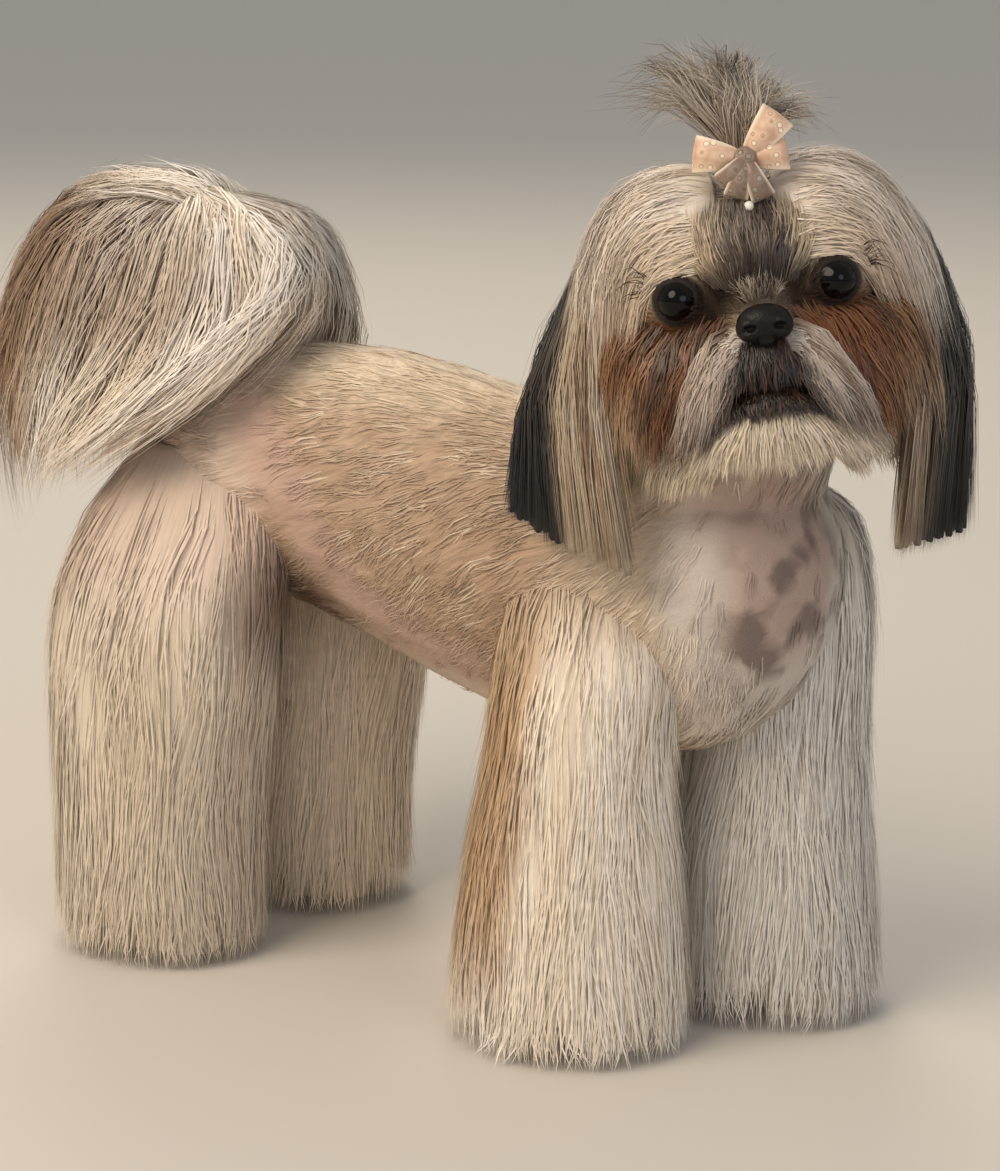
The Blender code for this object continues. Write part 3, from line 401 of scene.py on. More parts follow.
# The dense mass of a coat: a folded form just under its locks
def growMass(name, guides, look, outward, paint, material, nodes):
    closed = look.get("closed", False)
    columns, rows = look["columns"], look["rows"]
    low, high = look.get("u", (0.0, 1.0))
    u, t = np.meshgrid(np.linspace(low, high, columns + 1), np.linspace(0, 1, rows + 1), indexing="ij")
    waves = 0.6 * np.sin(2 * math.pi * (u * look["folds"] + 0.25 * np.sin(5 * t))) + 0.4 * np.sin(
        2 * math.pi * (u * (2 * look["folds"] + 5) + 0.15 * np.sin(7 * t + 1)))
    t = look["from"] + t * (look["to"] - look["from"] - look["ragged"] * (0.5 + 0.5 * waves[:, -1:]))
    points, out, _ = sheetFrame(guides, u, t, closed, outward)
    points = points - out * (look["depth"] + look["fold"] * waves * ease(t, 0.0, 0.3))[..., None]
    points[..., 2] = np.maximum(points[..., 2], look.get("floor", hairBuild["clearance"]))
    # the mass is painted as the deepest hair (deep is 1), so a paint that darkens deep hair as painted shade darkens
    # it too
    seat = {"points": points, "around": u, "t": t, "u": u[:, 0], "lockTone": 0.5 + 0.5 * waves[:, 0],
            "deep": np.ones(columns + 1)}
    # painted shade: the mass is darker where its folds sink deeper
    colours = paint(seat) * (0.96 - 0.04 * waves[..., None])
    bm = bmesh.new()
    bm.loops.layers.uv.new("OFBake")
    tint = bm.verts.layers.float_color.new("coat")
    bmesh.ops.create_grid(bm, x_segments=columns, y_segments=rows, size=0.5, calc_uvs=True)
    for vert in bm.verts:
        i, j = round((vert.co.x + 0.5) * columns), round((vert.co.y + 0.5) * rows)
        vert.co = points[i, j]
        vert[tint] = (*colours[i, j], 1)
    if closed:
        bmesh.ops.remove_doubles(bm, verts=bm.verts, dist=1e-6)
        bmesh.ops.holes_fill(bm, edges=[edge for edge in bm.edges if edge.is_boundary], sides=0)
    bmesh.ops.recalc_face_normals(bm, faces=bm.faces)
    piece = addPiece(name, meshFrom(bm, name), material, nodes)
    if not closed:
        wall = piece.modifiers.new("Thickness", "SOLIDIFY")
        wall.thickness = look["thickness"]
        wall.offset = 0


# Hair in locks over a sheet: each lock gathers towards its tip, and its root is sunk below the sheet
def growLocks(guides, look, seed, outward):
    rng = np.random.default_rng(seed)
    locks, strands, steps = look["locks"], look["strands"], look["steps"]
    closed = look.get("closed", False)
    low, high = look.get("u", (0.0, 1.0))
    u = low + (high - low) * (rng.permutation(locks) + rng.random(locks)) / locks
    start = look["start"][0] + (look["start"][1] - look["start"][0]) * rng.random(locks) ** look.get("early", 1.0)
    end = np.minimum(start + rng.uniform(*look["length"], locks), look.get("limit", 1.0))
    depth = rng.uniform(*look["depth"], locks)
    share = np.linspace(0, 1, steps)
    du = rng.normal(0, look["spread"], (locks, strands))
    starts = start[:, None] + rng.uniform(-0.03, 0.03, (locks, strands))
    ends = starts + (end - start)[:, None] * rng.uniform(look["ragged"], 1, (locks, strands))
    t = np.clip(starts[..., None] + (ends - starts)[..., None] * share, 0.0 if closed else -0.06, 1.02)
    around = u[:, None, None] + du[..., None] * (1 - look["gather"] * share)
    sway = look.get("sway", 0.0) * np.sin(2 * math.pi * (1.6 * t + 4 * u[:, None, None]))
    around = around + sway * np.minimum(3 * share, 1)
    if not closed:
        around = np.clip(around, -0.02, 1.02)
    points, out, sideways = sheetFrame(guides, around, t, closed, outward)
    sunk = depth[:, None] + rng.normal(0, look["loft"], (locks, strands))
    sink = sunk[..., None] + (look["sink"] - sunk[..., None]) * (1 - share) ** 3
    points = points - out * sink[..., None]
    phase = rng.random(locks)[:, None, None]
    swing = look["wave"] * np.sin(2 * math.pi * (share * look["waves"] + phase)) * np.minimum(share * 3, 1)
    points += sideways * swing[..., None]
    points += rng.normal(0, look["frizz"], (locks, strands, 1, 3)) * (share ** 2)[:, None]
    widths = look["width"] * rng.uniform(0.7, 1.3, (locks, strands))
    return {
        "points": points.reshape(-1, steps, 3), "outs": out.reshape(-1, steps, 3), "widths": widths.ravel(),
        "u": np.repeat(u, strands), "t": t.reshape(-1, steps), "share": share,
        "around": around.reshape(-1, steps),
        "lockTone": np.repeat(rng.random(locks), strands), "tone": rng.random(locks * strands),
        "deep": np.repeat((depth - look["depth"][0]) / (look["depth"][1] - look["depth"][0]), strands),
        "roots": np.stack([np.repeat(u, strands) % 1.0, starts.ravel()], -1),
    }


def lockTones(hair):  # a random number per lock, at every point of it
    return hair["lockTone"][:, None] * np.ones_like(hair["t"])


def shade(colours, hair, strength=0.14):  # strands differ a little from their neighbours, roots lie in shadow
    tone = 1 + strength * (hair["tone"] - 0.5) * 2 + 0.5 * strength * (hair["lockTone"] - 0.5) * 2
    root = 0.90 + 0.10 * np.minimum(hair["share"] * 3, 1)
    return colours * tone[:, None, None] * root[None, :, None]


def joinHair(parts):
    keys = ("points", "outs", "widths", "colours", "roots")
    return {key: np.concatenate([part[key] for part in parts]) for key in keys}


def hairPiece(name, parts, material, replaced, turned=0.2):
    # turned is how round each strand shades; the rest of its shading follows the coat's own surface
    whole = joinHair(parts)
    mesh = hairMesh(name, whole["points"], whole["outs"], whole["widths"], whole["colours"], whole["roots"], turned)
    addPiece(name, mesh, material, replaced)
    print(name, len(mesh.polygons), "triangles")


# The skin: overlapping plain forms made one surface. A loose group with fewer points than crumb is left out
skin = {
    "voxel": 0.0014, "keep": 0.38, "smooth": 6, "coatDepth": 0.0030, "crumb": 400,
    "neck": (((0.098, 0.006, 0.202), 0.045, 0.047), ((0.116, 0.002, 0.236), 0.045, 0.047),
             ((0.134, -0.008, 0.268), 0.040, 0.042), ((0.146, -0.018, 0.300), 0.031, 0.033)),
    # centre height, lean ahead of the foot, shift to the body, half length, half width
    "frontLimb": ((-0.003, 0.006, 0.0, 0.020, 0.015), (0.012, 0.006, 0.0, 0.021, 0.016),
                  (0.022, 0.000, 0.0, 0.015, 0.013), (0.060, -0.002, 0.0, 0.0125, 0.012),
                  (0.100, -0.005, 0.0, 0.015, 0.014), (0.140, -0.006, 0.002, 0.024, 0.018),
                  (0.180, -0.006, 0.006, 0.027, 0.018), (0.212, -0.006, 0.016, 0.016, 0.009)),
    "rearLimb": ((-0.003, 0.008, 0.0, 0.020, 0.015), (0.012, 0.007, 0.0, 0.021, 0.016),
                 (0.024, -0.002, 0.0, 0.015, 0.013), (0.055, -0.012, 0.0, 0.013, 0.012),
                 (0.085, -0.008, 0.0, 0.018, 0.015), (0.125, 0.004, 0.002, 0.032, 0.020),
                 (0.175, 0.008, 0.008, 0.040, 0.019), (0.216, 0.006, 0.020, 0.024, 0.010)),
    "tail": (((-0.116, 0.0, 0.240), 0.013), ((-0.137, 0.0, 0.270), 0.011), ((-0.149, -0.001, 0.293), 0.0095),
             ((-0.149, -0.002, 0.309), 0.0085), ((-0.137, -0.003, 0.317), 0.007), ((-0.124, -0.004, 0.314), 0.004)),
    # centre and half sizes in the head frame
    "head": (((-0.047, 0.0, 0.003), (0.043, 0.044, 0.038)), ((-0.022, 0.0, 0.012), (0.0225, 0.037, 0.0215)),
             ((-0.016, 0.027, 0.000), (0.0172, 0.0178, 0.0165)), ((-0.016, -0.027, 0.000), (0.0172, 0.0178, 0.0165)),
             ((-0.028, 0.022, -0.026), (0.026, 0.025, 0.027)), ((-0.028, -0.022, -0.026), (0.026, 0.025, 0.027)),
             ((-0.002, 0.0, -0.023), (0.0175, 0.0205, 0.0145)), ((0.006, 0.0095, -0.025), (0.0115, 0.0115, 0.0100)),
             ((0.006, -0.0095, -0.025), (0.0115, 0.0115, 0.0100)), ((-0.002, 0.0, -0.043), (0.0145, 0.0175, 0.0125)),
             ((0.001, 0.0, -0.035), (0.0140, 0.0200, 0.0085)), ((-0.004, 0.0, -0.046), (0.0150, 0.0250, 0.0100)),
             ((-0.031, 0.0, -0.041), (0.026, 0.031, 0.021))),
    "ears": (((-0.049, 0.0455, 0.008), (0.017, 0.0042, 0.032)), ((-0.049, -0.0455, 0.008), (0.017, 0.0042, 0.032))),
}


def addBall(bm, centre, half, turn=Matrix.Identity(3), segments=24, rings=16):
    place = Matrix.Translation(centre) @ turn.to_4x4() @ Matrix.Diagonal((*half, 1.0))
    bmesh.ops.create_uvsphere(bm, u_segments=segments, v_segments=rings, radius=1.0, matrix=place)


def addTube(bm, rings, sides=20):  # rings: centre and its two half axes
    loops = []
    for centre, across, up in rings:
        facing = Vector(across).cross(Vector(up)).normalized()
        place = Matrix((across, up, facing)).transposed().to_4x4()
        place.translation = centre
        made = bmesh.ops.create_circle(bm, cap_ends=False, segments=sides, radius=1.0, matrix=place)
        loops.append(list({edge for vert in made["verts"] for edge in vert.link_edges}))
    for lower, upper in zip(loops, loops[1:]):
        bmesh.ops.bridge_loops(bm, edges=lower + upper)
    for end in (loops[0], loops[-1]):
        bmesh.ops.contextual_create(bm, geom=end)


def torsoForm(bm):
    part = bmesh.new()
    part.from_mesh(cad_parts["torso"].data)
    bmesh.ops.remove_doubles(part, verts=part.verts, dist=1e-5)
    part.normal_update()
    for vert in part.verts:
        vert.co -= vert.normal * skin["coatDepth"]
    copied = meshFrom(part, "torsoCopy")
    bm.from_mesh(copied)
    bpy.data.meshes.remove(copied)


def limbForm(bm, foot, rows):
    outer = -1.0 if foot[1] < 0 else 1.0
    rings = []
    for z, lean, inward, halfLength, halfWidth in rows:
        centre = Vector(foot) + Vector((lean, -outer * inward, z))
        rings.append((centre, Vector((halfLength, 0, 0)), Vector((0, halfWidth, 0))))
    addTube(bm, rings)
    for toe in range(4):
        place = Vector(foot) + Vector((0.021 - 0.003 * abs(toe - 1.5), (toe - 1.5) * 0.0078, 0.0075))
        addBall(bm, place, (0.0085, 0.0045, 0.0065), segments=12, rings=8)


def lidAxes(side):
    turn = math.radians(side * pose["eyeSplay"])
    return Vector((math.cos(turn), math.sin(turn), 0)), Vector((-math.sin(turn), math.cos(turn), 0))


def lidForms(bm):
    lids = {"radius": 0.0078, "minor": 0.0012, "ahead": 0.0050}
    for side in (-1, 1):
        ahead, across = lidAxes(side)
        centre = Vector((pose["eyeDepth"], side * pose["eyeSpread"], 0)) + ahead * lids["ahead"]
        rings = []
        for i in range(25):
            angle = 2 * math.pi * i / 24
            spoke = across * math.cos(angle) + Vector((0, 0, 1)) * math.sin(angle) * 0.95
            thick = lids["minor"] * (1.05 + 0.3 * math.sin(angle))
            spot = Vector(fromHead(np.array(centre + spoke * lids["radius"])))
            rings.append((spot, headTurn @ (spoke * thick), headTurn @ (ahead * thick)))
        addTube(bm, rings, 10)


def lipForms(bm):
    lips = {"width": 0.021, "sag": 0.0075, "upper": -0.0330, "lower": -0.0375, "radius": 0.0024}
    for drop in (lips["upper"], lips["lower"]):
        rings = []
        for i in range(13):
            s = -1 + i / 6
            spot = Vector((0.0138 - 0.014 * s * s, lips["width"] * s, drop - lips["sag"] * s * s))
            radius = lips["radius"] * (1 - 0.45 * s * s)
            rings.append((Vector(fromHead(np.array(spot))), headTurn @ Vector((radius, 0, 0)),
                          headTurn @ Vector((0, 0, radius))))
        addTube(bm, rings, 10)


def buildSkin():
    bm = bmesh.new()
    torsoForm(bm)
    neck = [(Vector(np.array(c) + shift), Vector((0, w, 0)), Vector((-d, 0, d * 0.35))) for c, w, d in skin["neck"]]
    addTube(bm, neck)
    for name, foot in feet.items():
        limbForm(bm, foot, skin["frontLimb"] if "front" in name else skin["rearLimb"])
    path = [Vector(np.array(c) + shift) for c, _ in skin["tail"]]
    rings = []
    for i, (_, radius) in enumerate(skin["tail"]):
        along = (path[min(i + 1, len(path) - 1)] - path[max(i - 1, 0)]).normalized()
        across = Vector((0, radius, 0))
        rings.append((path[i], across, along.cross(across).normalized() * radius))
    addTube(bm, rings, 16)
    for centre, half in skin["head"] + skin["ears"]:
        addBall(bm, Vector(fromHead(np.array(centre))), half, headTurn)
    lidForms(bm)
    lipForms(bm)
    bmesh.ops.recalc_face_normals(bm, faces=bm.faces)
    mesh = oneSurface(bm, "skin", skin["voxel"], skin["smooth"], skin["keep"])
    whole = bmesh.new()
    whole.from_mesh(mesh)
    left = set(whole.verts)
    while left:  # crumbs that the remesh leaves inside the body are taken away
        group = reach = {left.pop()}
        while reach:
            reach = {edge.other_vert(vert) for vert in reach for edge in vert.link_edges} - group
            group = group | reach
        left -= group
        if len(group) < skin["crumb"]:
            bmesh.ops.delete(whole, geom=list(group), context="VERTS")
    for vert in whole.verts:  # the pads stand flat on the floor
        vert.co.z = max(vert.co.z, 0.0)
    whole.to_mesh(mesh)
    whole.free()
    return mesh


# Markings, and some painted shade, shared by the skin and the coat over it
def shaved(points):  # 1 where the coat is clipped to the skin: the chest, the flank fold and the belly
    p = points - shift
    chest = near(p, (0.166, -0.022, 0.204), 0.034) + near(p, (0.150, -0.036, 0.236), 0.022)
    fold = np.array(((-0.085, 0.045, 0.246), (-0.056, 0.047, 0.205), (-0.032, 0.040, 0.168), (0.05, 0.03, 0.135)))
    rightFlank, leftFlank = nearLine(p, fold * (1, -1, 1), 0.013), nearLine(p, fold, 0.013)
    belly = near(p * (0.35, 1, 1), (0.000, 0.0, 0.128), 0.030)
    return np.clip(chest + rightFlank + leftFlank + belly, 0, 1)


def spotted(points):  # grey-brown spots on the chest
    p = points - shift
    field = near(p, (0.172, -0.018, 0.200), 0.030, 0.4) + 0.9 * near(p, (0.164, -0.030, 0.172), 0.019, 0.4)
    return np.clip(field, 0, 1) * ease(patchy(p, 0.017, 3.1) + 0.45 * patchy(p, 0.007, 9.4), -0.10, 0.26)


def bodyPaint(points, streak):
    p = points - shift
    x, y, z = p[..., 0], p[..., 1], p[..., 2]
    tone = mix(hairColours["straw"], hairColours["tan"], np.clip(0.66 + 0.4 * streak, 0, 1))
    tone = mix(tone, hairColours["tan"], 0.45 * ease(-z, -0.250, -0.225))
    # painted shade: the shoulders are mixed towards a darker tan
    shoulder = ease(x, -0.01, 0.05) * ease(-x, -0.10, -0.07) * ease(-z, -0.245, -0.215)
    tone = mix(tone, hairColours["tan"], 0.4 * shoulder)
    tone = mix(tone, hairColours["warmCream"], 0.9 * ease(z, 0.244, 0.264))
    tone = mix(tone, hairColours["palePink"], 0.85 * ease(-x, 0.066, 0.088))
    tone = mix(tone, hairColours["umber"], 0.75 * near(p * (1, 0.6, 1), (-0.062, 0.0, 0.156), 0.027))
    tone = mix(tone, hairColours["warmCream"], 0.6 * ease(x, 0.060, 0.095))
    tone = mix(tone, hairColours["silver"], ease(x, 0.112, 0.140))
    tone = mix(tone, hairColours["pink"], 0.8 * shaved(points))
    tone = mix(tone, hairColours["silver"], 0.8 * near(p * (1, 1, 0.5), (0.140, -0.048, 0.102), 0.013, 0.7))
    tone = mix(tone, hairColours["silver"], 0.8 * ease(x, 0.12, 0.15) * ease(y, -0.004, 0.010))
    # painted shade: the chest front under the head is darkened, standing in for the head's shadow
    tone = mix(tone, tone * 0.78, ease(x, 0.13, 0.155))
    return mix(tone, hairColours["spot"] * 0.8, 0.85 * spotted(points))


def facePaint(points):  # in the head frame
    h = toHead(points)
    side = np.abs(h[..., 1])
    x, z = h[..., 0], h[..., 2]
    mirrored = np.stack([x, side, z], -1)
    tone = np.broadcast_to(hairColours["beige"], points.shape).copy()
    tone = mix(tone, hairColours["straw"], 0.7 * near(mirrored, (-0.006, 0.032, 0.018), 0.013))
    tone = mix(tone, hairColours["fawn"], 0.9 * near(h * (1, 0.9, 0.6), (-0.002, 0.0, 0.014), 0.018, 0.6))
    tone = mix(tone, hairColours["tan"], 0.6 * near(mirrored, (-0.016, 0.050, -0.022), 0.020))
    tone = mix(tone, hairColours["russet"], 0.95 * near(mirrored, (-0.002, 0.032, -0.020), 0.020))
    tone = mix(tone, hairColours["umber"], 0.8 * near(mirrored, (0.004, 0.022, -0.012), 0.011))
    tone = mix(tone, hairColours["silver"], 0.9 * near(mirrored, (0.014, 0.016, -0.021), 0.0105))
    tone = mix(tone, hairColours["darkBrown"], 0.95 * near(h * (1, 0.8, 1), (0.016, 0.0, -0.030), 0.0115))
    tone = mix(tone, hairColours["darkBrown"], 0.9 * (1 - ease(eyeGap(h), 0.0094, 0.0112)))
    tone = mix(tone, hairColours["darkBrown"], 0.85 * near(mirrored, (0.003, 0.016, -0.001), 0.0105, 0.5))
    tone = mix(tone, hairColours["greige"], 0.7 * near(h, (0.013, 0.0, -0.001), 0.0065))
    tone = mix(tone, hairColours["cream"], ease(-z, 0.042, 0.047))
    return mix(tone, hairColours["greige"], 0.6 * ease(-x, 0.045, 0.065))


def eyeGap(inHead):  # how far a point is from the nearer eye's line of sight; far behind the eye it counts as away
    turn = math.radians(pose["eyeSplay"])
    mirrored = np.stack([inHead[..., 0], np.abs(inHead[..., 1]), inHead[..., 2]], -1)
    mirrored = mirrored - (pose["eyeDepth"], pose["eyeSpread"], 0)
    ahead = mirrored @ np.array((math.cos(turn), math.sin(turn), 0))
    across = np.sqrt(np.maximum(np.sum(mirrored ** 2, -1) - ahead ** 2, 0))
    return across + 0.1 * (ahead < -0.006)


def skinPaint(points):
    streak = patchy(points, 0.012)
    p = points - shift
    inHead = toHead(points)
    limb = ease(-p[..., 2], -0.150, -0.120)
    tone = mix(bodyPaint(points, streak), hairColours["cream"], limb)
    face = 1 - ease(headGap(inHead, (0.062, 0.062, 0.060)), 0.98, 1.10)
    tone = mix(tone, facePaint(points) * 0.85, face)
    rim = 1 - ease(eyeGap(inHead), 0.0092, 0.0104)
    lip = (1 - ease(lipGap(inHead), 0.0040, 0.0060)) * (1 - ease(np.abs(inHead[..., 1]), 0.020, 0.025))
    lip = lip * ease(inHead[..., 0], -0.016, -0.010)
    streaky = (1 - face) * (1 - 0.6 * shaved(points)) * (1 - 0.85 * ease(p[..., 0], 0.10, 0.14)) * (1 - limb)
    return mix(tone, hairColours["darkBrown"] * 0.5, np.clip(rim + lip, 0, 1)), streaky


skinMesh = buildSkin()
skinPoints = np.zeros(len(skinMesh.vertices) * 3, np.float32)
skinMesh.vertices.foreach_get("co", skinPoints)
skinPoints = skinPoints.reshape(-1, 3).astype(float)
paintPoints(skinMesh, *skinPaint(skinPoints))
fleshNodes = ["torso", "neck", "head", "tail", "ear_right", "ear_left", *feet]
addPiece("skin", skinMesh, skinMaterial(), fleshNodes)
skinMesh.calc_loop_triangles()
skinFaces = np.array([tri.vertices for tri in skinMesh.loop_triangles])
skinTree = BVHTree.FromPolygons(skinPoints.tolist(), skinFaces.tolist())
print("skin", len(skinFaces), "triangles")


# Places spread over the skin by area, where the weight allows
def scatter(count, weight, rng):
    corners = skinPoints[skinFaces]
    cross = np.cross(corners[:, 1] - corners[:, 0], corners[:, 2] - corners[:, 0])
    chance = np.linalg.norm(cross, axis=1) * weight(corners.mean(1))
    picks = rng.choice(len(chance), count, p=chance / chance.sum())
    a, b = rng.random((2, count))
    turned = a + b > 1
    a, b = np.where(turned, 1 - a, a), np.where(turned, 1 - b, b)
    chosen = corners[picks]
    points = chosen[:, 0] + a[:, None] * (chosen[:, 1] - chosen[:, 0]) + b[:, None] * (chosen[:, 2] - chosen[:, 0])
    return points, unit(cross[picks])


def onSkin(points):  # the nearest places on the skin, and the skin's lie along each strand
    found = [skinTree.find_nearest(Vector(point)) for point in points.reshape(-1, 3)]
    seats = np.array([hit[0] for hit in found]).reshape(points.shape)
    outs = np.array([hit[1] for hit in found]).reshape(points.shape)
    return seats, unit(outs + outs.mean(-2, keepdims=True))


# A clipped coat: small locks that lie along the skin and bend round it
def layCoat(places, normals, flow, look, seed, unwrap, paint):
    rng = np.random.default_rng(seed)
    locks, strands, steps = len(places), look["strands"], look["steps"]
    share = np.linspace(0, 1, steps)
    flow = unit(flow - normals * np.sum(flow * normals, -1, keepdims=True))
    across = np.cross(normals, flow)
    length = (look["length"] * rng.uniform(0.75, 1.2, locks))[:, None] * rng.uniform(0.8, 1.1, (locks, strands))
    length = length * look["cut"][:, None]
    offset = rng.normal(0, look["spread"], (2, locks, strands))
    turn = rng.normal(0, look["stray"], (locks, strands))
    way = flow[:, None] * np.cos(turn)[..., None] + across[:, None] * np.sin(turn)[..., None]
    hold = 1 - look["gather"] * share
    points = places[:, None, None] + way[:, :, None] * (length[..., None] * share)[..., None]
    points = points + (across[:, None, None] * (offset[0][..., None] * hold)[..., None]
                       + flow[:, None, None] * offset[1][..., None, None] * 0.8)
    phase = rng.random(locks)[:, None, None]
    swing = look["wave"] * np.sin(2 * math.pi * (share * look["waves"] + phase)) * share
    points = points + across[:, None, None] * np.broadcast_to(swing, (locks, strands, steps))[..., None]
    seats, outs = onSkin(points)
    lift = look["lift"] * rng.uniform(0.3, 1.5, (locks, strands))[..., None] * np.minimum(share * 2.5, 1)
    points = seats + outs * (lift - look["sink"] * (1 - share) ** 3)[..., None]
    hair = {
        "points": points.reshape(-1, steps, 3),
        "outs": outs.reshape(-1, steps, 3),
        "widths": (look["width"] * rng.uniform(0.7, 1.3, (locks, strands))).ravel(),
        "share": share, "lockTone": np.repeat(rng.random(locks), strands), "tone": rng.random(locks * strands),
        "roots": np.repeat(unwrap(places), strands, axis=0),
    }
    hair["colours"] = shade(paint(hair), hair, look.get("contrast", 0.14))
    return hair


def aroundTorso(points):  # an unwrap of the trunk: along it and round it
    p = points - shift
    turn = np.arctan2(p[:, 2] - 0.200, p[:, 1]) / (2 * math.pi) + 0.5
    return np.stack([(p[:, 0] + 0.160) / 0.345, turn], -1)


def aroundHead(points):  # the same for the head: round it and up it
    h = toHead(points) - pose["middle"]
    turn = np.arctan2(h[:, 1], -h[:, 0]) / (2 * math.pi) + 0.5
    rise = np.arcsin(np.clip(unit(h)[:, 2], -1, 1)) / math.pi + 0.5
    return np.stack([turn, rise], -1)


def trunkWeight(points):
    p = points - shift
    low = ease(p[:, 2], 0.112, 0.122)
    radius = np.hypot(p[:, 1], p[:, 2] - 0.200)
    onTrunk = ease(-radius, -0.095, -0.085) * low * ease(-p[:, 0], -0.186, -0.180)
    offHead = ease(headGap(toHead(points), (0.060, 0.060, 0.056)), 0.95, 1.05)
    onNeck = ease(p[:, 0], 0.07, 0.08) * ease(p[:, 2], 0.19, 0.20)
    hair = 1 - 0.88 * shaved(points)
    return np.clip(onTrunk + onNeck, 0, 1) * offHead * hair


def trunkFlow(points):
    p = points - shift
    x, z = p[:, 0], p[:, 2]
    back = 1 - ease(x, 0.10, 0.15)
    down = 0.15 + 0.75 * ease(-z, -0.255, -0.190) * ease(x, -0.12, 0.02)
    sway = patchy(p, 0.022, 7.7) * 0.55
    flow = np.stack([-back * 1.0 - 0.1, np.zeros(len(p)), -(down * back + (1 - back) * 1.0)], -1)
    flow[:, 2] += sway * back
    flow[:, 1] += patchy(p, 0.030, 1.3) * 0.3
    return flow


def buildBodyCoat():
    look = {"locks": 3200, "strands": 5, "steps": 4, "length": 0.0215, "spread": 0.0022, "gather": 0.45,
            "stray": 0.10, "wave": 0.0011, "waves": 1.1, "lift": 0.0008, "sink": 0.0010, "width": 0.00065,
            "contrast": 0.10}
    for name, side, seed in (("bodyCoatRight", -1, 21), ("bodyCoatLeft", 1, 22)):
        rng = np.random.default_rng(seed)
        places, normals = scatter(look["locks"] // 2, lambda p: trunkWeight(p) * (side * p[:, 1] > 0), rng)
        cut = 1 - 0.45 * shaved(places)
        streak = patchy(places * (0.35, 1, 1), 0.006)

        def paint(hair):
            # painted highlight: a random share of locks is mixed towards cream, less on the clipped parts
            light = 0.40 * ease(hair["lockTone"], 0.72, 0.92)[:, None] * (1 - 0.7 * shaved(hair["points"]))
            base = bodyPaint(hair["points"], np.repeat(streak, look["strands"])[:, None])
            return mix(base, hairColours["cream"], light)

        hair = layCoat(places, normals, trunkFlow(places), {**look, "cut": cut}, seed, aroundTorso, paint)
        hairPiece(name, [hair], materials["shortHair"], ("torso", "neck"))


buildBodyCoat()

# Leg hair falls from the shoulder or thigh to the floor, round a column.
# Its rows: height, half length, half width, shift along the body, shift to the body
frontLow = ((0.130, 0.039, 0.037, -0.007, 0.0), (0.100, 0.042, 0.040, -0.008, 0.0),
            (0.070, 0.0460, 0.0440, -0.009, 0.0), (0.035, 0.0490, 0.0465, -0.009, 0.0),
            (0.001, 0.0500, 0.0470, -0.009, 0.0))
rearColumn = ((0.224, 0.030, 0.016, 0.001, 0.024), (0.198, 0.046, 0.026, 0.002, 0.014),
              (0.165, 0.056, 0.037, 0.002, 0.003), (0.130, 0.0565, 0.0425, 0.0, 0.0),
              (0.100, 0.0530, 0.0435, -0.001, 0.0), (0.070, 0.0495, 0.0435, -0.002, 0.0),
              (0.035, 0.0475, 0.0435, -0.002, 0.0), (0.001, 0.0470, 0.0425, -0.002, 0.0))
legHair = {
    "leg_front_right": ((0.208, 0.020, 0.010, -0.016, 0.022), (0.193, 0.030, 0.022, -0.013, 0.012),
                        (0.165, 0.039, 0.033, -0.006, 0.003), *frontLow),
    "leg_front_left": ((0.236, 0.018, 0.010, -0.008, 0.020), (0.217, 0.033, 0.029, -0.005, 0.008),
                       (0.175, 0.039, 0.037, -0.006, 0.001), *frontLow),
    "leg_rear_right": rearColumn, "leg_rear_left": rearColumn,
    "sides": 16,
    "locks": {"locks": 430, "strands": 13, "steps": 4, "closed": True, "start": (0.03, 0.86), "early": 0.8,
              "length": (0.28, 0.55), "depth": (-0.0003, 0.0008), "spread": 0.015, "ragged": 0.80, "gather": 0.30,
              "loft": 0.0005, "sink": 0.004, "wave": 0.0026, "waves": 0.7, "frizz": 0.0022, "width": 0.00072,
              "sway": 0.008},
    # more hair where the column leaves the body
    "tops": {"locks": 60, "strands": 12, "start": (0.0, 0.26), "early": 1.4, "length": (0.22, 0.42), "sink": 0.0015,
             "spread": 0.020, "width": 0.00088},
    "mass": {"closed": True, "columns": 180, "rows": 36, "from": 0.0, "to": 0.935, "ragged": 0.05, "folds": 13,
             "fold": 0.0006, "depth": 0.0013, "floor": 0.004},
}


def legGuides(foot, rows):
    outer = -1.0 if foot[1] < 0 else 1.0
    turns = 2 * math.pi * np.arange(legHair["sides"]) / legHair["sides"]
    guides = np.zeros((len(turns), len(rows), 3))
    for j, (z, halfLength, halfWidth, ahead, inward) in enumerate(rows):
        centre = foot + (ahead, -outer * inward, z)
        ring = np.stack([np.sin(turns) * halfLength, outer * np.cos(turns) * halfWidth, 0 * turns], -1)
        guides[:, j] = centre + ring
    return guides


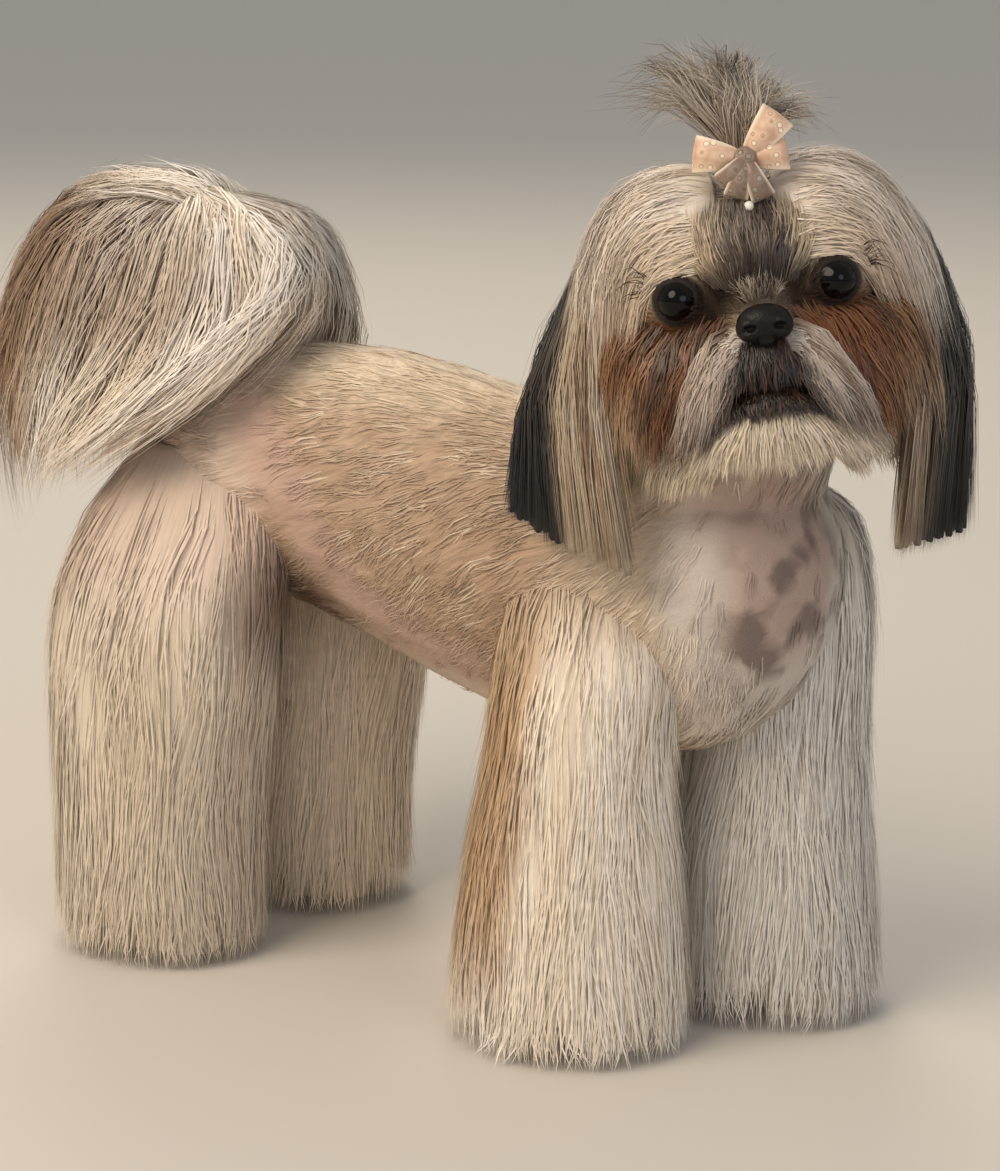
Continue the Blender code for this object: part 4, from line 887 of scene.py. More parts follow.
def legPaint(name, hair):
    p = hair["points"] - shift
    turn = 2 * math.pi * hair["around"]
    z = p[..., 2]
    flat = np.ones_like(z)
    lock = lockTones(hair)
    band = patchy(np.stack([hair["u"] * 9, hair["u"] * 0, hair["u"] * 0], -1), 1.0, 5.0)[:, None] * flat
    tone = mix(hairColours["cream"], hairColours["white"], np.clip(0.30 + 0.25 * lock + 0.8 * band, 0, 1))
    far = 1.0
    if name == "leg_front_right":
        toRear = ease(-np.sin(turn) + 0.30 * np.cos(turn) + 0.5 * band, 0.05, 0.75)
        golden = mix(hairColours["gold"], hairColours["straw"], 0.1 + 0.5 * lock)
        tone = mix(tone, golden, 0.95 * toRear * ease(z, 0.004, 0.06))
        tone = mix(tone, hairColours["straw"], 0.6 * ease(z, 0.15, 0.19))
    elif name == "leg_front_left":
        # painted shade: the far front leg is whiter hair, then darkened all over as if in shade
        tone = mix(tone, hairColours["white"], 0.6) * 0.80
    else:
        tone = mix(tone, hairColours["warmCream"], 0.6) * 0.90
        tone = mix(tone, hairColours["palePink"], 0.85 * ease(z, 0.14, 0.185))
        tone = mix(tone, hairColours["umber"], 0.7 * near(p * (1, 0.7, 1), (-0.064, -0.028, 0.158), 0.025))
        # painted light: far sets each rear leg's brightness, the far rear leg painted lighter and the near one a
        # little darker
        far = 1.16 if name == "leg_rear_left" else 0.97
    blend = -0.34 if "front" in name else -0.24  # how far down the column the body's own colour reaches
    return mix(tone * far, bodyPaint(hair["points"], 0 * z), ease(-hair["t"], blend, -0.06))


def buildLegs():
    material = massMaterial("Combed leg hair", 0.28, 0.22)
    for i, (name, foot) in enumerate(feet.items()):
        guides = legGuides(foot, legHair[name])
        outward = lambda points: np.zeros(3)
        paint = lambda hair: legPaint(name, hair)
        growMass("mass_" + name, guides, legHair["mass"], outward, paint, material, (name,))
        hair = growLocks(guides, legHair["locks"], 100 + i, outward)
        tops = growLocks(guides, {**legHair["locks"], **legHair["tops"]}, 110 + i, outward)
        for part in (hair, tops):
            part["colours"] = shade(legPaint(name, part), part, 0.05)
        hairPiece("hair_" + name, [hair, tops], materials["longHair"], (name,), 0.06)


buildLegs()

# The plume leaves the tail's crest, arches out and falls to both sides
plume = {
    "guides": (
        ((-0.136, -0.004, 0.336), (-0.084, -0.024, 0.324), (-0.064, -0.034, 0.294), (-0.088, -0.056, 0.258),
         (-0.148, -0.068, 0.212)),
        ((-0.140, -0.005, 0.337), (-0.104, -0.042, 0.320), (-0.106, -0.060, 0.277), (-0.138, -0.067, 0.240),
         (-0.178, -0.062, 0.202)),
        ((-0.146, -0.005, 0.337), (-0.160, -0.044, 0.316), (-0.175, -0.056, 0.264), (-0.187, -0.055, 0.222),
         (-0.198, -0.048, 0.190)),
        ((-0.151, -0.003, 0.337), (-0.199, -0.018, 0.327), (-0.227, -0.026, 0.284), (-0.236, -0.027, 0.225),
         (-0.226, -0.022, 0.165)),
        ((-0.151, 0.003, 0.337), (-0.203, 0.014, 0.327), (-0.233, 0.016, 0.286), (-0.246, 0.012, 0.232),
         (-0.247, 0.006, 0.178)),
        ((-0.146, 0.005, 0.337), (-0.176, 0.044, 0.316), (-0.190, 0.055, 0.266), (-0.196, 0.053, 0.225),
         (-0.197, 0.047, 0.190)),
        ((-0.140, 0.005, 0.337), (-0.122, 0.046, 0.315), (-0.118, 0.060, 0.275), (-0.136, 0.066, 0.240),
         (-0.157, 0.062, 0.208)),
        ((-0.136, 0.003, 0.336), (-0.098, 0.024, 0.323), (-0.090, 0.036, 0.292), (-0.098, 0.055, 0.258),
         (-0.128, 0.064, 0.222)),
    ),
    "gathered": 0.25,  # the share of the roots' own spread that is kept
    # hair thrown back over the crest
    "crest": (((-0.108, -0.019, 0.318), (-0.128, -0.021, 0.331), (-0.158, -0.026, 0.332), (-0.194, -0.030, 0.318),
               (-0.217, -0.033, 0.280)),
              ((-0.112, 0.0, 0.326), (-0.131, 0.0, 0.338), (-0.161, 0.0, 0.339), (-0.200, 0.0, 0.330),
               (-0.229, 0.0, 0.289)),
              ((-0.108, 0.019, 0.318), (-0.128, 0.021, 0.331), (-0.158, 0.026, 0.332), (-0.190, 0.030, 0.318),
               (-0.210, 0.033, 0.282))),
    "crestLocks": {"locks": 46, "strands": 18, "steps": 6, "start": (0.0, 0.45), "length": (0.40, 0.80),
                   "depth": (-0.001, 0.004), "spread": 0.06, "ragged": 0.75, "gather": 0.6, "loft": 0.0010,
                   "sink": 0.010, "wave": 0.0028, "waves": 0.8, "frizz": 0.0028, "width": 0.0007},
    "locks": {"locks": 170, "strands": 24, "steps": 6, "closed": True, "start": (0.0, 0.22), "length": (0.50, 1.0),
              "depth": (-0.004, 0.005), "spread": 0.015, "ragged": 0.80, "gather": 0.72, "loft": 0.0010,
              "sink": 0.004, "wave": 0.0055, "waves": 0.9, "frizz": 0.0032, "width": 0.00068},
    "mass": {"closed": True, "columns": 200, "rows": 40, "from": 0.02, "to": 0.85, "ragged": 0.26, "folds": 15,
             "fold": 0.0020, "depth": 0.0058, "floor": 0.150},
}


def plumePaint(hair):
    u = hair["around"] % 1.0
    t = hair["t"]
    lock = lockTones(hair)
    deep = hair["deep"][:, None] * np.ones_like(t)
    # painted shade: deeper locks are painted warmer and darker, standing in for shade in the depth of the plume
    tone = mix(hairColours["white"], hairColours["warmCream"], np.clip(lock * 0.7 + 0.3 * deep, 0, 1))
    tone = mix(tone, hairColours["tan"] * 0.9, 0.85 * ease(deep, 0.30, 0.9) * ease(t, 0.05, 0.2))
    rear = ease(u, 0.22, 0.34) * ease(-u, -0.68, -0.58)
    brown = mix(hairColours["gold"], hairColours["tan"], lock) * (0.64, 0.52, 0.35)
    tone = mix(tone, brown, 0.95 * rear * ease(t, 0.08, 0.3) * ease(deep, -0.9, 0.1))
    # painted shade: a darker patch where the plume's hollows lie
    tone = mix(tone, hairColours["tan"] * 0.8, 0.7 * near(np.stack([u, t, 0 * t], -1), (0.24, 0.40, 0.0), 0.16))
    tone = mix(tone, hairColours["umber"], 0.85 * rear * ease(t, 0.60, 0.92) * ease(lock, 0.30, 0.55))
    # painted shade: deep locks in the hollows turn umber
    dark = ease(u, 0.16, 0.22) * ease(-u, -0.42, -0.34) * ease(t, 0.10, 0.22) * ease(-t, -0.72, -0.5)
    tone = mix(tone, hairColours["umber"], 0.85 * dark * ease(deep, 0.25, 0.6))
    far = ease(u, 0.60, 0.70) * ease(-u, -0.95, -0.88)
    return mix(tone, hairColours["greige"], 0.35 * far)


def buildPlume():
    guides = np.array(plume["guides"]) + shift
    guides[:, 0] = mix(guides[:, 0].mean(0), guides[:, 0], plume["gathered"])
    outward = lambda points: np.array((0, 0, 0.03))
    material = massMaterial("Combed plume", 0.42, 0.20)
    growMass("mass_plume", guides, plume["mass"], outward, plumePaint, material, ("tail",))
    hair = growLocks(guides, plume["locks"], 200, outward)
    hair["roots"][:, 1] = hair["roots"][:, 1] / 0.25  # the roots fill the map from end to end
    hair["colours"] = shade(plumePaint(hair), hair, 0.10)
    crest = growLocks(np.array(plume["crest"]) + shift, plume["crestLocks"], 210,
                      lambda points: np.array((0, 0, 1.0)))
    lock = lockTones(crest)
    tone = mix(hairColours["white"], hairColours["warmCream"], lock)
    tone = mix(tone, hairColours["gold"] * 0.7, 0.8 * ease(crest["t"], 0.45, 0.85))
    crest["colours"] = shade(tone, crest, 0.10)
    hairPiece("hair_plume", [hair, crest], materials["longHair"], ("tail",), 0.1)


buildPlume()

# Ear hair hangs in flat curtains, cut straight across at the ends
ears = {
    "ear_right": (((-0.060, -0.034, 0.038), (-0.058, -0.064, 0.020), (-0.053, -0.094, -0.030),
                   (-0.048, -0.107, -0.076)),
                  ((-0.050, -0.036, 0.042), (-0.044, -0.064, 0.020), (-0.036, -0.083, -0.034),
                   (-0.033, -0.086, -0.092)),
                  ((-0.036, -0.036, 0.040), (-0.028, -0.058, 0.016), (-0.018, -0.063, -0.040),
                   (-0.016, -0.062, -0.105))),
    "ear_left": (((-0.060, 0.034, 0.040), (-0.056, 0.066, 0.022), (-0.050, 0.079, -0.030), (-0.042, 0.070, -0.107)),
                 ((-0.050, 0.036, 0.042), (-0.042, 0.064, 0.020), (-0.034, 0.072, -0.036), (-0.028, 0.056, -0.108)),
                 ((-0.036, 0.036, 0.040), (-0.028, 0.056, 0.016), (-0.018, 0.056, -0.040), (-0.014, 0.041, -0.108))),
    "hair": {"locks": 170, "strands": 22, "steps": 4, "start": (-0.02, 0.38), "length": (0.75, 1.3), "limit": 1.0,
             "depth": (-0.003, 0.003), "spread": 0.035, "ragged": 0.95, "gather": 0.25, "loft": 0.0010, "sink": 0.004,
             "wave": 0.0009, "waves": 0.8, "frizz": 0.0012, "width": 0.0007},
    "mass": {"columns": 70, "rows": 36, "u": (0.02, 0.98), "from": 0.0, "to": 0.985, "ragged": 0.03, "folds": 7,
             "fold": 0.0010, "depth": 0.0010, "thickness": 0.0030},
}


def earPaint(name, hair):
    u, t = hair["around"], hair["t"]
    lock = lockTones(hair)
    light = mix(hairColours["silver"], hairColours["beige"], np.clip(lock + 0.5 * t, 0, 1))
    light = light * (0.84 - 0.14 * t[..., None])
    light = mix(light, hairColours["tan"], 0.5 * ease(lock, 0.55, 0.8) * ease(t, 0.3, 0.7))
    edge = 0.10 * (lock - 0.5)
    if name == "ear_right":
        dark = ease(-u + edge, -0.60, -0.44) * ease(t, 0.20, 0.48)
        streaks = 0.6 * ease(t, 0.3, 0.7) * ease(lock, 0.74, 0.86)
    else:
        dark = 0.95 * ease(-u + edge, -0.84, -0.62) * ease(t, 0.16, 0.55)
        streaks = 0.5 * ease(t, 0.3, 0.7) * ease(lock, 0.6, 0.8)
    tone = mix(light, hairColours["umber"], streaks)
    pale = np.clip(0.65 * ease(lock, 0.45, 1.0) - 0.6 * ease(t, 0.6, 1.0), 0, 1)
    black = mix(hairColours["charcoal"], hairColours["slate"], pale)
    return mix(tone, black, dark)


def buildEars():
    material = massMaterial("Combed ear hair", 0.07, 0.15)
    for i, name in enumerate(("ear_right", "ear_left")):
        guides = fromHead(np.array(ears[name]))
        paint = lambda hair: earPaint(name, hair)
        growMass("mass_" + name, guides, ears["mass"], fromMiddle, paint, material, (name,))
        hair = growLocks(guides, ears["hair"], 300 + i, fromMiddle)
        hair["roots"][:, 1] = (hair["roots"][:, 1] + 0.05) / 0.5  # the roots fill the map from end to end
        hair["colours"] = shade(earPaint(name, hair), hair, 0.10)
        hairPiece("hair_" + name, [hair], materials["longHair"], (name,))


buildEars()

# Hair of the head, in the head frame for the dog's left side; the other side mirrors it
faceHair = {
    "brow": (((0.004, 0.007, 0.012), (0.0025, 0.017, 0.0125), (0.0000, 0.031, 0.0110), (-0.006, 0.043, 0.003),
              (-0.011, 0.050, -0.018)),
             ((-0.004, 0.004, 0.027), (-0.002, 0.020, 0.030), (-0.006, 0.038, 0.027), (-0.013, 0.052, 0.009),
              (-0.017, 0.059, -0.026)),
             ((-0.016, 0.002, 0.041), (-0.013, 0.022, 0.047), (-0.016, 0.045, 0.039), (-0.022, 0.061, 0.012),
              (-0.026, 0.068, -0.034)),
             ((-0.030, 0.002, 0.047), (-0.030, 0.026, 0.053), (-0.032, 0.052, 0.042), (-0.037, 0.070, 0.010),
              (-0.040, 0.076, -0.042)),
             ((-0.046, 0.002, 0.048), (-0.049, 0.028, 0.051), (-0.052, 0.051, 0.038), (-0.055, 0.065, 0.008),
              (-0.057, 0.068, -0.036)),
             ((-0.066, 0.002, 0.041), (-0.071, 0.022, 0.040), (-0.075, 0.039, 0.022), (-0.078, 0.046, -0.010),
              (-0.074, 0.046, -0.042))),
    "cheek": (((0.0075, 0.015, -0.006), (0.0115, 0.023, -0.026), (0.008, 0.028, -0.046), (0.003, 0.032, -0.062)),
              ((0.0025, 0.029, -0.0088), (0.0055, 0.036, -0.024), (0.001, 0.043, -0.045), (-0.005, 0.046, -0.066)),
              ((-0.005, 0.041, -0.004), (-0.004, 0.050, -0.019), (-0.009, 0.056, -0.042), (-0.015, 0.057, -0.070)),
              ((-0.018, 0.054, 0.000), (-0.018, 0.062, -0.016), (-0.021, 0.066, -0.042), (-0.027, 0.066, -0.074))),
    "forehead": (((0.0095, 0.0, 0.001), (0.0092, 0.0, 0.013), (0.0045, 0.0, 0.026), (-0.0045, 0.0, 0.038)),
                 ((0.0085, 0.008, 0.001), (0.0075, 0.010, 0.012), (0.0028, 0.012, 0.024), (-0.0060, 0.010, 0.038)),
                 ((0.0050, 0.017, 0.003), (0.0022, 0.022, 0.011), (-0.0010, 0.024, 0.021), (-0.0090, 0.023, 0.035))),
    "moustache": (((0.0185, 0.008, -0.020), (0.0205, 0.0125, -0.030), (0.0185, 0.0180, -0.043),
                   (0.0135, 0.025, -0.057)),
                  ((0.0160, 0.012, -0.015), (0.0195, 0.0190, -0.027), (0.0160, 0.0270, -0.045),
                   (0.0090, 0.035, -0.066)),
                  ((0.0100, 0.016, -0.010), (0.0135, 0.0260, -0.022), (0.0105, 0.0365, -0.043),
                   (0.0040, 0.043, -0.064))),
    "philtrum": (((0.0150, -0.013, -0.018), (0.0185, -0.016, -0.029), (0.0175, -0.0185, -0.0415)),
                 ((0.0190, 0.0, -0.017), (0.0210, 0.0, -0.027), (0.0205, 0.0, -0.0385)),
                 ((0.0150, 0.013, -0.018), (0.0185, 0.016, -0.029), (0.0175, 0.0185, -0.0415))),
    "lip": (((0.0130, -0.016, -0.0385), (0.0165, -0.018, -0.0440), (0.0160, -0.020, -0.0500)),
            ((0.0160, 0.0, -0.0355), (0.0195, 0.0, -0.0410), (0.0195, 0.0, -0.0500)),
            ((0.0130, 0.016, -0.0385), (0.0165, 0.018, -0.0440), (0.0160, 0.020, -0.0500))),
    "chin": (((0.0040, -0.018, -0.0390), (0.0095, -0.0235, -0.0480), (0.0075, -0.031, -0.058),
              (0.0000, -0.037, -0.069)),
             ((0.0105, -0.010, -0.0400), (0.0155, -0.0125, -0.0485), (0.0140, -0.017, -0.059),
              (0.0080, -0.020, -0.0705)),
             ((0.0125, 0.0, -0.0405), (0.0175, 0.0, -0.0490), (0.0165, 0.0, -0.060), (0.0100, 0.0, -0.0725)),
             ((0.0105, 0.010, -0.0400), (0.0155, 0.0125, -0.0485), (0.0140, 0.017, -0.059), (0.0080, 0.020, -0.0705)),
             ((0.0040, 0.018, -0.0390), (0.0095, 0.0235, -0.0480), (0.0075, 0.031, -0.058), (0.0000, 0.037, -0.069))),
    "jaw": (((-0.008, 0.010, -0.052), (-0.006, 0.018, -0.060), (-0.010, 0.026, -0.068), (-0.018, 0.030, -0.078)),
            ((-0.024, 0.026, -0.046), (-0.020, 0.042, -0.054), (-0.024, 0.050, -0.064), (-0.032, 0.053, -0.080)),
            ((-0.042, 0.036, -0.034), (-0.040, 0.054, -0.044), (-0.044, 0.062, -0.060), (-0.052, 0.064, -0.084))),
    "joinSteps": 4,  # points of a strand in the joined muzzle
    "browLook": {"locks": 190, "strands": 17, "steps": 5, "start": (-0.05, 0.36), "length": (0.45, 0.90),
                 "depth": (0.0, 0.0022), "spread": 0.030, "ragged": 0.80, "gather": 0.40, "loft": 0.0006,
                 "sink": 0.009, "wave": 0.0016, "waves": 0.9, "frizz": 0.0016, "width": 0.0006},
    "browMass": {"columns": 60, "rows": 60, "u": (0.16, 0.97), "from": 0.12, "to": 0.93, "ragged": 0.25, "folds": 7,
                 "fold": 0.0006, "depth": 0.0030, "thickness": 0.0022},
    "cheekLook": {"locks": 84, "strands": 16, "steps": 4, "start": (-0.04, 0.40), "length": (0.45, 0.80),
                  "depth": (0.0, 0.003), "spread": 0.06, "ragged": 0.70, "gather": 0.5, "loft": 0.0007, "sink": 0.007,
                  "wave": 0.0014, "waves": 0.9, "frizz": 0.0013, "width": 0.0006},
    "moustacheLook": {"locks": 50, "strands": 16, "steps": 4, "start": (-0.02, 0.30), "length": (0.50, 0.95),
                      "depth": (0.0, 0.003), "spread": 0.07, "ragged": 0.65, "gather": 0.5, "loft": 0.0006,
                      "sink": 0.005, "wave": 0.0016, "waves": 0.9, "frizz": 0.0012, "width": 0.0006},
    "chinLook": {"locks": 96, "strands": 15, "steps": 4, "start": (-0.02, 0.45), "length": (0.45, 0.80),
                 "depth": (0.0, 0.003), "spread": 0.04, "ragged": 0.75, "gather": 0.4, "loft": 0.0006, "sink": 0.004,
                 "wave": 0.0006, "waves": 0.9, "frizz": 0.0010, "width": 0.0006},
    "foreheadLook": {"locks": 60, "strands": 12, "steps": 4, "start": (-0.02, 0.55), "length": (0.40, 0.95),
                     "depth": (0.0, 0.002), "spread": 0.09, "ragged": 0.7, "gather": 0.5, "loft": 0.0006,
                     "sink": 0.003, "wave": 0.0008, "waves": 0.9, "frizz": 0.0012, "width": 0.00055},
    "lipLook": {"locks": 60, "strands": 12, "steps": 4, "start": (-0.02, 0.45), "length": (0.40, 0.75),
                "depth": (0.0, 0.002), "spread": 0.03, "ragged": 0.6, "gather": 0.4, "loft": 0.0005, "sink": 0.002,
                "wave": 0.0005, "waves": 0.9, "frizz": 0.0011, "width": 0.0005},
}


def browPaint(hair):
    u, t = hair["around"], hair["t"]
    lock = lockTones(hair)
    tone = mix(hairColours["silver"], hairColours["beige"], np.clip(lock * 0.7 - 0.1, 0, 1)) * 1.10
    tone = mix(tone, hairColours["straw"], 0.75 * ease(-u, -0.34, -0.10) * ease(t, 0.20, 0.40))
    tone = mix(tone, mix(hairColours["fawn"], hairColours["greige"], lock),
               0.9 * ease(-t, -0.22, -0.02) * ease(-u, -0.50, -0.25))
    tone = mix(tone, hairColours["greige"], 0.5 * ease(u, 0.5, 0.85))
    tone = mix(tone, hairColours["tan"], 0.6 * ease(t, 0.60, 0.95) * ease(-u, -0.5, -0.2))
    return mix(tone, hairColours["slate"], 0.55 * ease(lock, 0.84, 0.93) * ease(t, 0.25, 0.6))


def foreheadPaint(hair):
    u, t = hair["around"], hair["t"]
    lock = lockTones(hair)
    tone = mix(hairColours["fawn"] * 0.9, hairColours["slate"], lock)
    tone = mix(tone, hairColours["greige"], 0.7 * ease(lock + 0.5 * u, 0.7, 1.0) * ease(t, 0.2, 0.6))
    tone = mix(tone, hairColours["darkBrown"], 0.8 * ease(-t, -0.50, -0.05))
    tone = tone * (0.78, 0.70, 0.62)
    return mix(tone, hairColours["beige"], 0.9 * ease(u + 0.3 * (lock - 0.5), 0.45, 0.85) * ease(t, 0.10, 0.45))


def cheekPaint(hair):
    u, t = hair["around"], hair["t"]
    lock = lockTones(hair)
    tone = mix(hairColours["russet"], hairColours["gold"], np.clip(lock * 0.35 + 0.30 * u - 0.15, 0, 1))
    tone = mix(tone, hairColours["beige"], 0.70 * ease(t, 0.45, 0.85) * ease(u, 0.35, 0.75))
    tone = mix(tone, hairColours["darkBrown"], 0.8 * ease(lock, 0.76, 0.86))
    tone = mix(tone, hairColours["umber"], 0.8 * ease(-t, -0.22, -0.02))
    return mix(tone, hairColours["darkBrown"], 0.85 * ease(-u, -0.25, -0.05) * ease(t, 0.55, 0.9))


def moustachePaint(hair):
    u, t = hair["around"], hair["t"]
    lock = lockTones(hair)
    tone = mix(hairColours["palePink"], hairColours["silver"], lock) * 0.66
    tone = mix(tone, hairColours["umber"], 0.8 * ease(-t, -0.20, -0.02))
    tone = mix(tone, hairColours["darkBrown"], 0.9 * ease(-u + 0.3 * (lock - 0.5), -0.42, -0.12))
    tone = mix(tone, hairColours["gold"], 0.5 * ease(lock, 0.6, 0.9) * ease(u, 0.4, 0.9))
    tone = mix(tone, hairColours["umber"], 0.7 * ease(lock, 0.80, 0.9))
    return mix(tone, hairColours["darkBrown"], 0.85 * ease(t, 0.62, 0.90) * ease(lock, 0.2, 0.5))


def chinPaint(hair):
    lock = lockTones(hair)
    # painted shade: chin and jaw hair darkened for the shade under the head
    return mix(hairColours["warmCream"], hairColours["cream"], lock) * 0.86


def lipPaint(hair):
    lock = lockTones(hair)
    return mix(hairColours["darkBrown"] * 0.8, hairColours["umber"] * 0.7, ease(lock, 0.6, 1.0))


def shortFace():
    look = {"locks": 2900, "strands": 4, "steps": 3, "length": 0.0085, "spread": 0.0008, "gather": 0.5, "stray": 0.16,
            "wave": 0.0002, "waves": 1.0, "lift": 0.0009, "sink": 0.0006, "width": 0.0006, "contrast": 0.16}
    rng = np.random.default_rng(41)

    def weight(points):
        h = toHead(points)
        inside = ease(-headGap(h, (0.064, 0.062, 0.062)), -1.10, -1.0)
        clear = ease(eyeGap(h), 0.0088, 0.0096)
        noseGap = np.linalg.norm((h - (0.0185, 0.0005, -0.0126)) / (0.010, 0.0125, 0.0098), axis=-1)
        lip = (1 - ease(lipGap(h), 0.0022, 0.0034)) * (np.abs(h[:, 1]) < 0.021) * (h[:, 0] > -0.012)
        front = 0.35 + 4.0 * ease(h[:, 0], -0.030, -0.010) * (1 - 0.85 * ease(h[:, 2], 0.014, 0.020))
        return inside * clear * ease(noseGap, 0.95, 1.05) * (1 - lip) * front

    places, normals = scatter(look["locks"], weight, rng)
    h = toHead(places)
    away = h - (0.020, 0, -0.012)
    away[:, 1] *= 1.5
    away[:, 2] += np.where(h[:, 2] > -0.012, 0.006, -0.004)
    back = ease(-h[:, 0], 0.03, 0.05)[:, None]
    flow = unit(away) * (1 - back) + np.array((-0.4, 0, -1.0)) * back
    flow = flow @ headAxes.T
    cut = 0.55 + 0.75 * ease(np.linalg.norm(h - (0.012, 0, -0.012), axis=-1), 0.012, 0.05)
    paint = lambda hair: facePaint(hair["points"])
    return layCoat(places, normals, flow, {**look, "cut": cut}, 42, aroundHead, paint)


def noseTuft():  # pale hairs that stand up on the bridge, above the nose
    root = np.array(((0.0125, -0.006, -0.006), (0.0135, 0.0, -0.005), (0.0125, 0.006, -0.006)))
    tip = np.array(((0.0145, -0.012, 0.004), (0.0175, 0.0, 0.007), (0.0145, 0.012, 0.004)))
    guides = np.stack([root, root * 0.45 + tip * 0.55 + (0.001, 0, 0.001), tip], 1)
    look = {"locks": 26, "strands": 7, "steps": 4, "start": (0.0, 0.25), "length": (0.4, 0.95), "depth": (0.0, 0.003),
            "spread": 0.08, "ragged": 0.6, "gather": 0.2, "loft": 0.0005, "sink": 0.004, "wave": 0.0003, "waves": 0.8,
            "frizz": 0.0014, "width": 0.0004}
    hair = growLocks(fromHead(guides), look, 47, fromMiddle)
    tone = mix(hairColours["fawn"], hairColours["greige"], ease(lockTones(hair), 0.2, 0.6))
    hair["colours"] = shade(tone, hair, 0.14)
    return hair


def lashes():  # long dark hairs at the outer corner of each eye
    parts = []
    for side in (-1, 1):
        root = np.array(((-0.003, 0.040, 0.009), (-0.005, 0.0425, 0.002)))
        over = np.array(((-0.001, 0.047, 0.013), (-0.004, 0.049, 0.002)))
        tip = np.array(((-0.008, 0.062, 0.004), (-0.010, 0.060, -0.008)))
        guides = np.stack([root, over, tip], 1) * (1, side, 1)
        look = {"locks": 9, "strands": 2, "steps": 4, "start": (0.0, 0.1), "length": (0.4, 0.95),
                "depth": (0.0, 0.002), "spread": 0.16, "ragged": 0.6, "gather": 0.1, "loft": 0.0006, "sink": 0.003,
                "wave": 0.0005, "waves": 0.6, "frizz": 0.0014, "width": 0.00035}
        hair = growLocks(fromHead(guides), look, 51 + side, fromMiddle)
        tone = np.broadcast_to(hairColours["darkBrown"], hair["points"].shape)
        hair["colours"] = shade(tone, hair, 0.14)
        parts.append(hair)
    return parts


def evenSteps(hair, steps):  # reads strands again at another number of points, so that they can be joined
    at = np.linspace(0, hair["points"].shape[1] - 1, steps)
    low = np.minimum(at.astype(int), hair["points"].shape[1] - 2)
    f = (at - low)[None, :, None]
    made = dict(hair)
    for key in ("points", "outs", "colours"):
        made[key] = hair[key][:, low] * (1 - f) + hair[key][:, low + 1] * f
    return made


def buildHeadHair():
    families = (("brow", "browLook", browPaint), ("cheek", "cheekLook", cheekPaint),
                ("moustache", "moustacheLook", moustachePaint), ("jaw", "chinLook", chinPaint),
                ("forehead", "foreheadLook", foreheadPaint))
    crown, muzzle = [], []
    material = massMaterial("Combed crown hair", 0.11, 0.12)
    for f, (family, look, paint) in enumerate(families):
        for side in (-1, 1):
            guides = fromHead(np.array(faceHair[family]) * (1, side, 1))
            if family == "brow":
                growMass("mass_crown_" + ("left" if side > 0 else "right"), guides, faceHair["browMass"], fromMiddle,
                         browPaint, material, ("head",))
            hair = growLocks(guides, faceHair[look], 400 + 10 * f + side, fromMiddle)
            hair["roots"] = aroundHead(hair["points"][:, 0])
            hair["colours"] = shade(paint(hair), hair, 0.10)
            (crown if family == "brow" else muzzle).append(hair)
    for name, paint in (("chin", chinPaint), ("lip", lipPaint), ("philtrum", lipPaint)):
        look = "chinLook" if name == "chin" else "lipLook"
        hair = growLocks(fromHead(np.array(faceHair[name])), faceHair[look], 460, fromMiddle)
        hair["roots"] = aroundHead(hair["points"][:, 0])
        hair["colours"] = shade(paint(hair), hair, 0.10)
        muzzle.append(hair)
    tuft = noseTuft()
    tuft["roots"] = aroundHead(tuft["points"][:, 0])
    muzzle.append(tuft)
    for hair in lashes():
        hair["roots"] = aroundHead(hair["points"][:, 0])
        muzzle.append(hair)
    hairPiece("hair_crown", crown, materials["longHair"], ("head",))
    hairPiece("hair_muzzle", [evenSteps(hair, faceHair["joinSteps"]) for hair in muzzle], materials["longHair"],
              ("head",))
    hairPiece("hair_face", [shortFace()], materials["shortHair"], ("head",))


buildHeadHair()

# The topknot: hair gathered in the bow and thrown up and out like a fountain
topknot = {
    "root": (-0.016, 0.002, 0.044), "rootRadius": 0.0035,
    # tips round the knot in the head frame, in order, and how much the hair arches
    "tips": ((-0.014, 0.046, 0.049), (-0.006, 0.036, 0.063), (-0.002, 0.016, 0.086), (-0.002, -0.006, 0.092),
             (-0.006, -0.027, 0.096), (-0.012, -0.050, 0.088), (-0.034, -0.050, 0.070), (-0.056, -0.012, 0.068),
             (-0.044, 0.026, 0.060)),
    "arch": 0.014,
    "hair": {"locks": 84, "strands": 15, "steps": 5, "closed": True, "start": (0.0, 0.05), "length": (0.50, 1.0),
             "depth": (-0.002, 0.010), "spread": 0.030, "ragged": 0.70, "gather": 0.65, "loft": 0.0014, "sink": 0.001,
             "wave": 0.0030, "waves": 0.8, "frizz": 0.0032, "width": 0.0005},
}


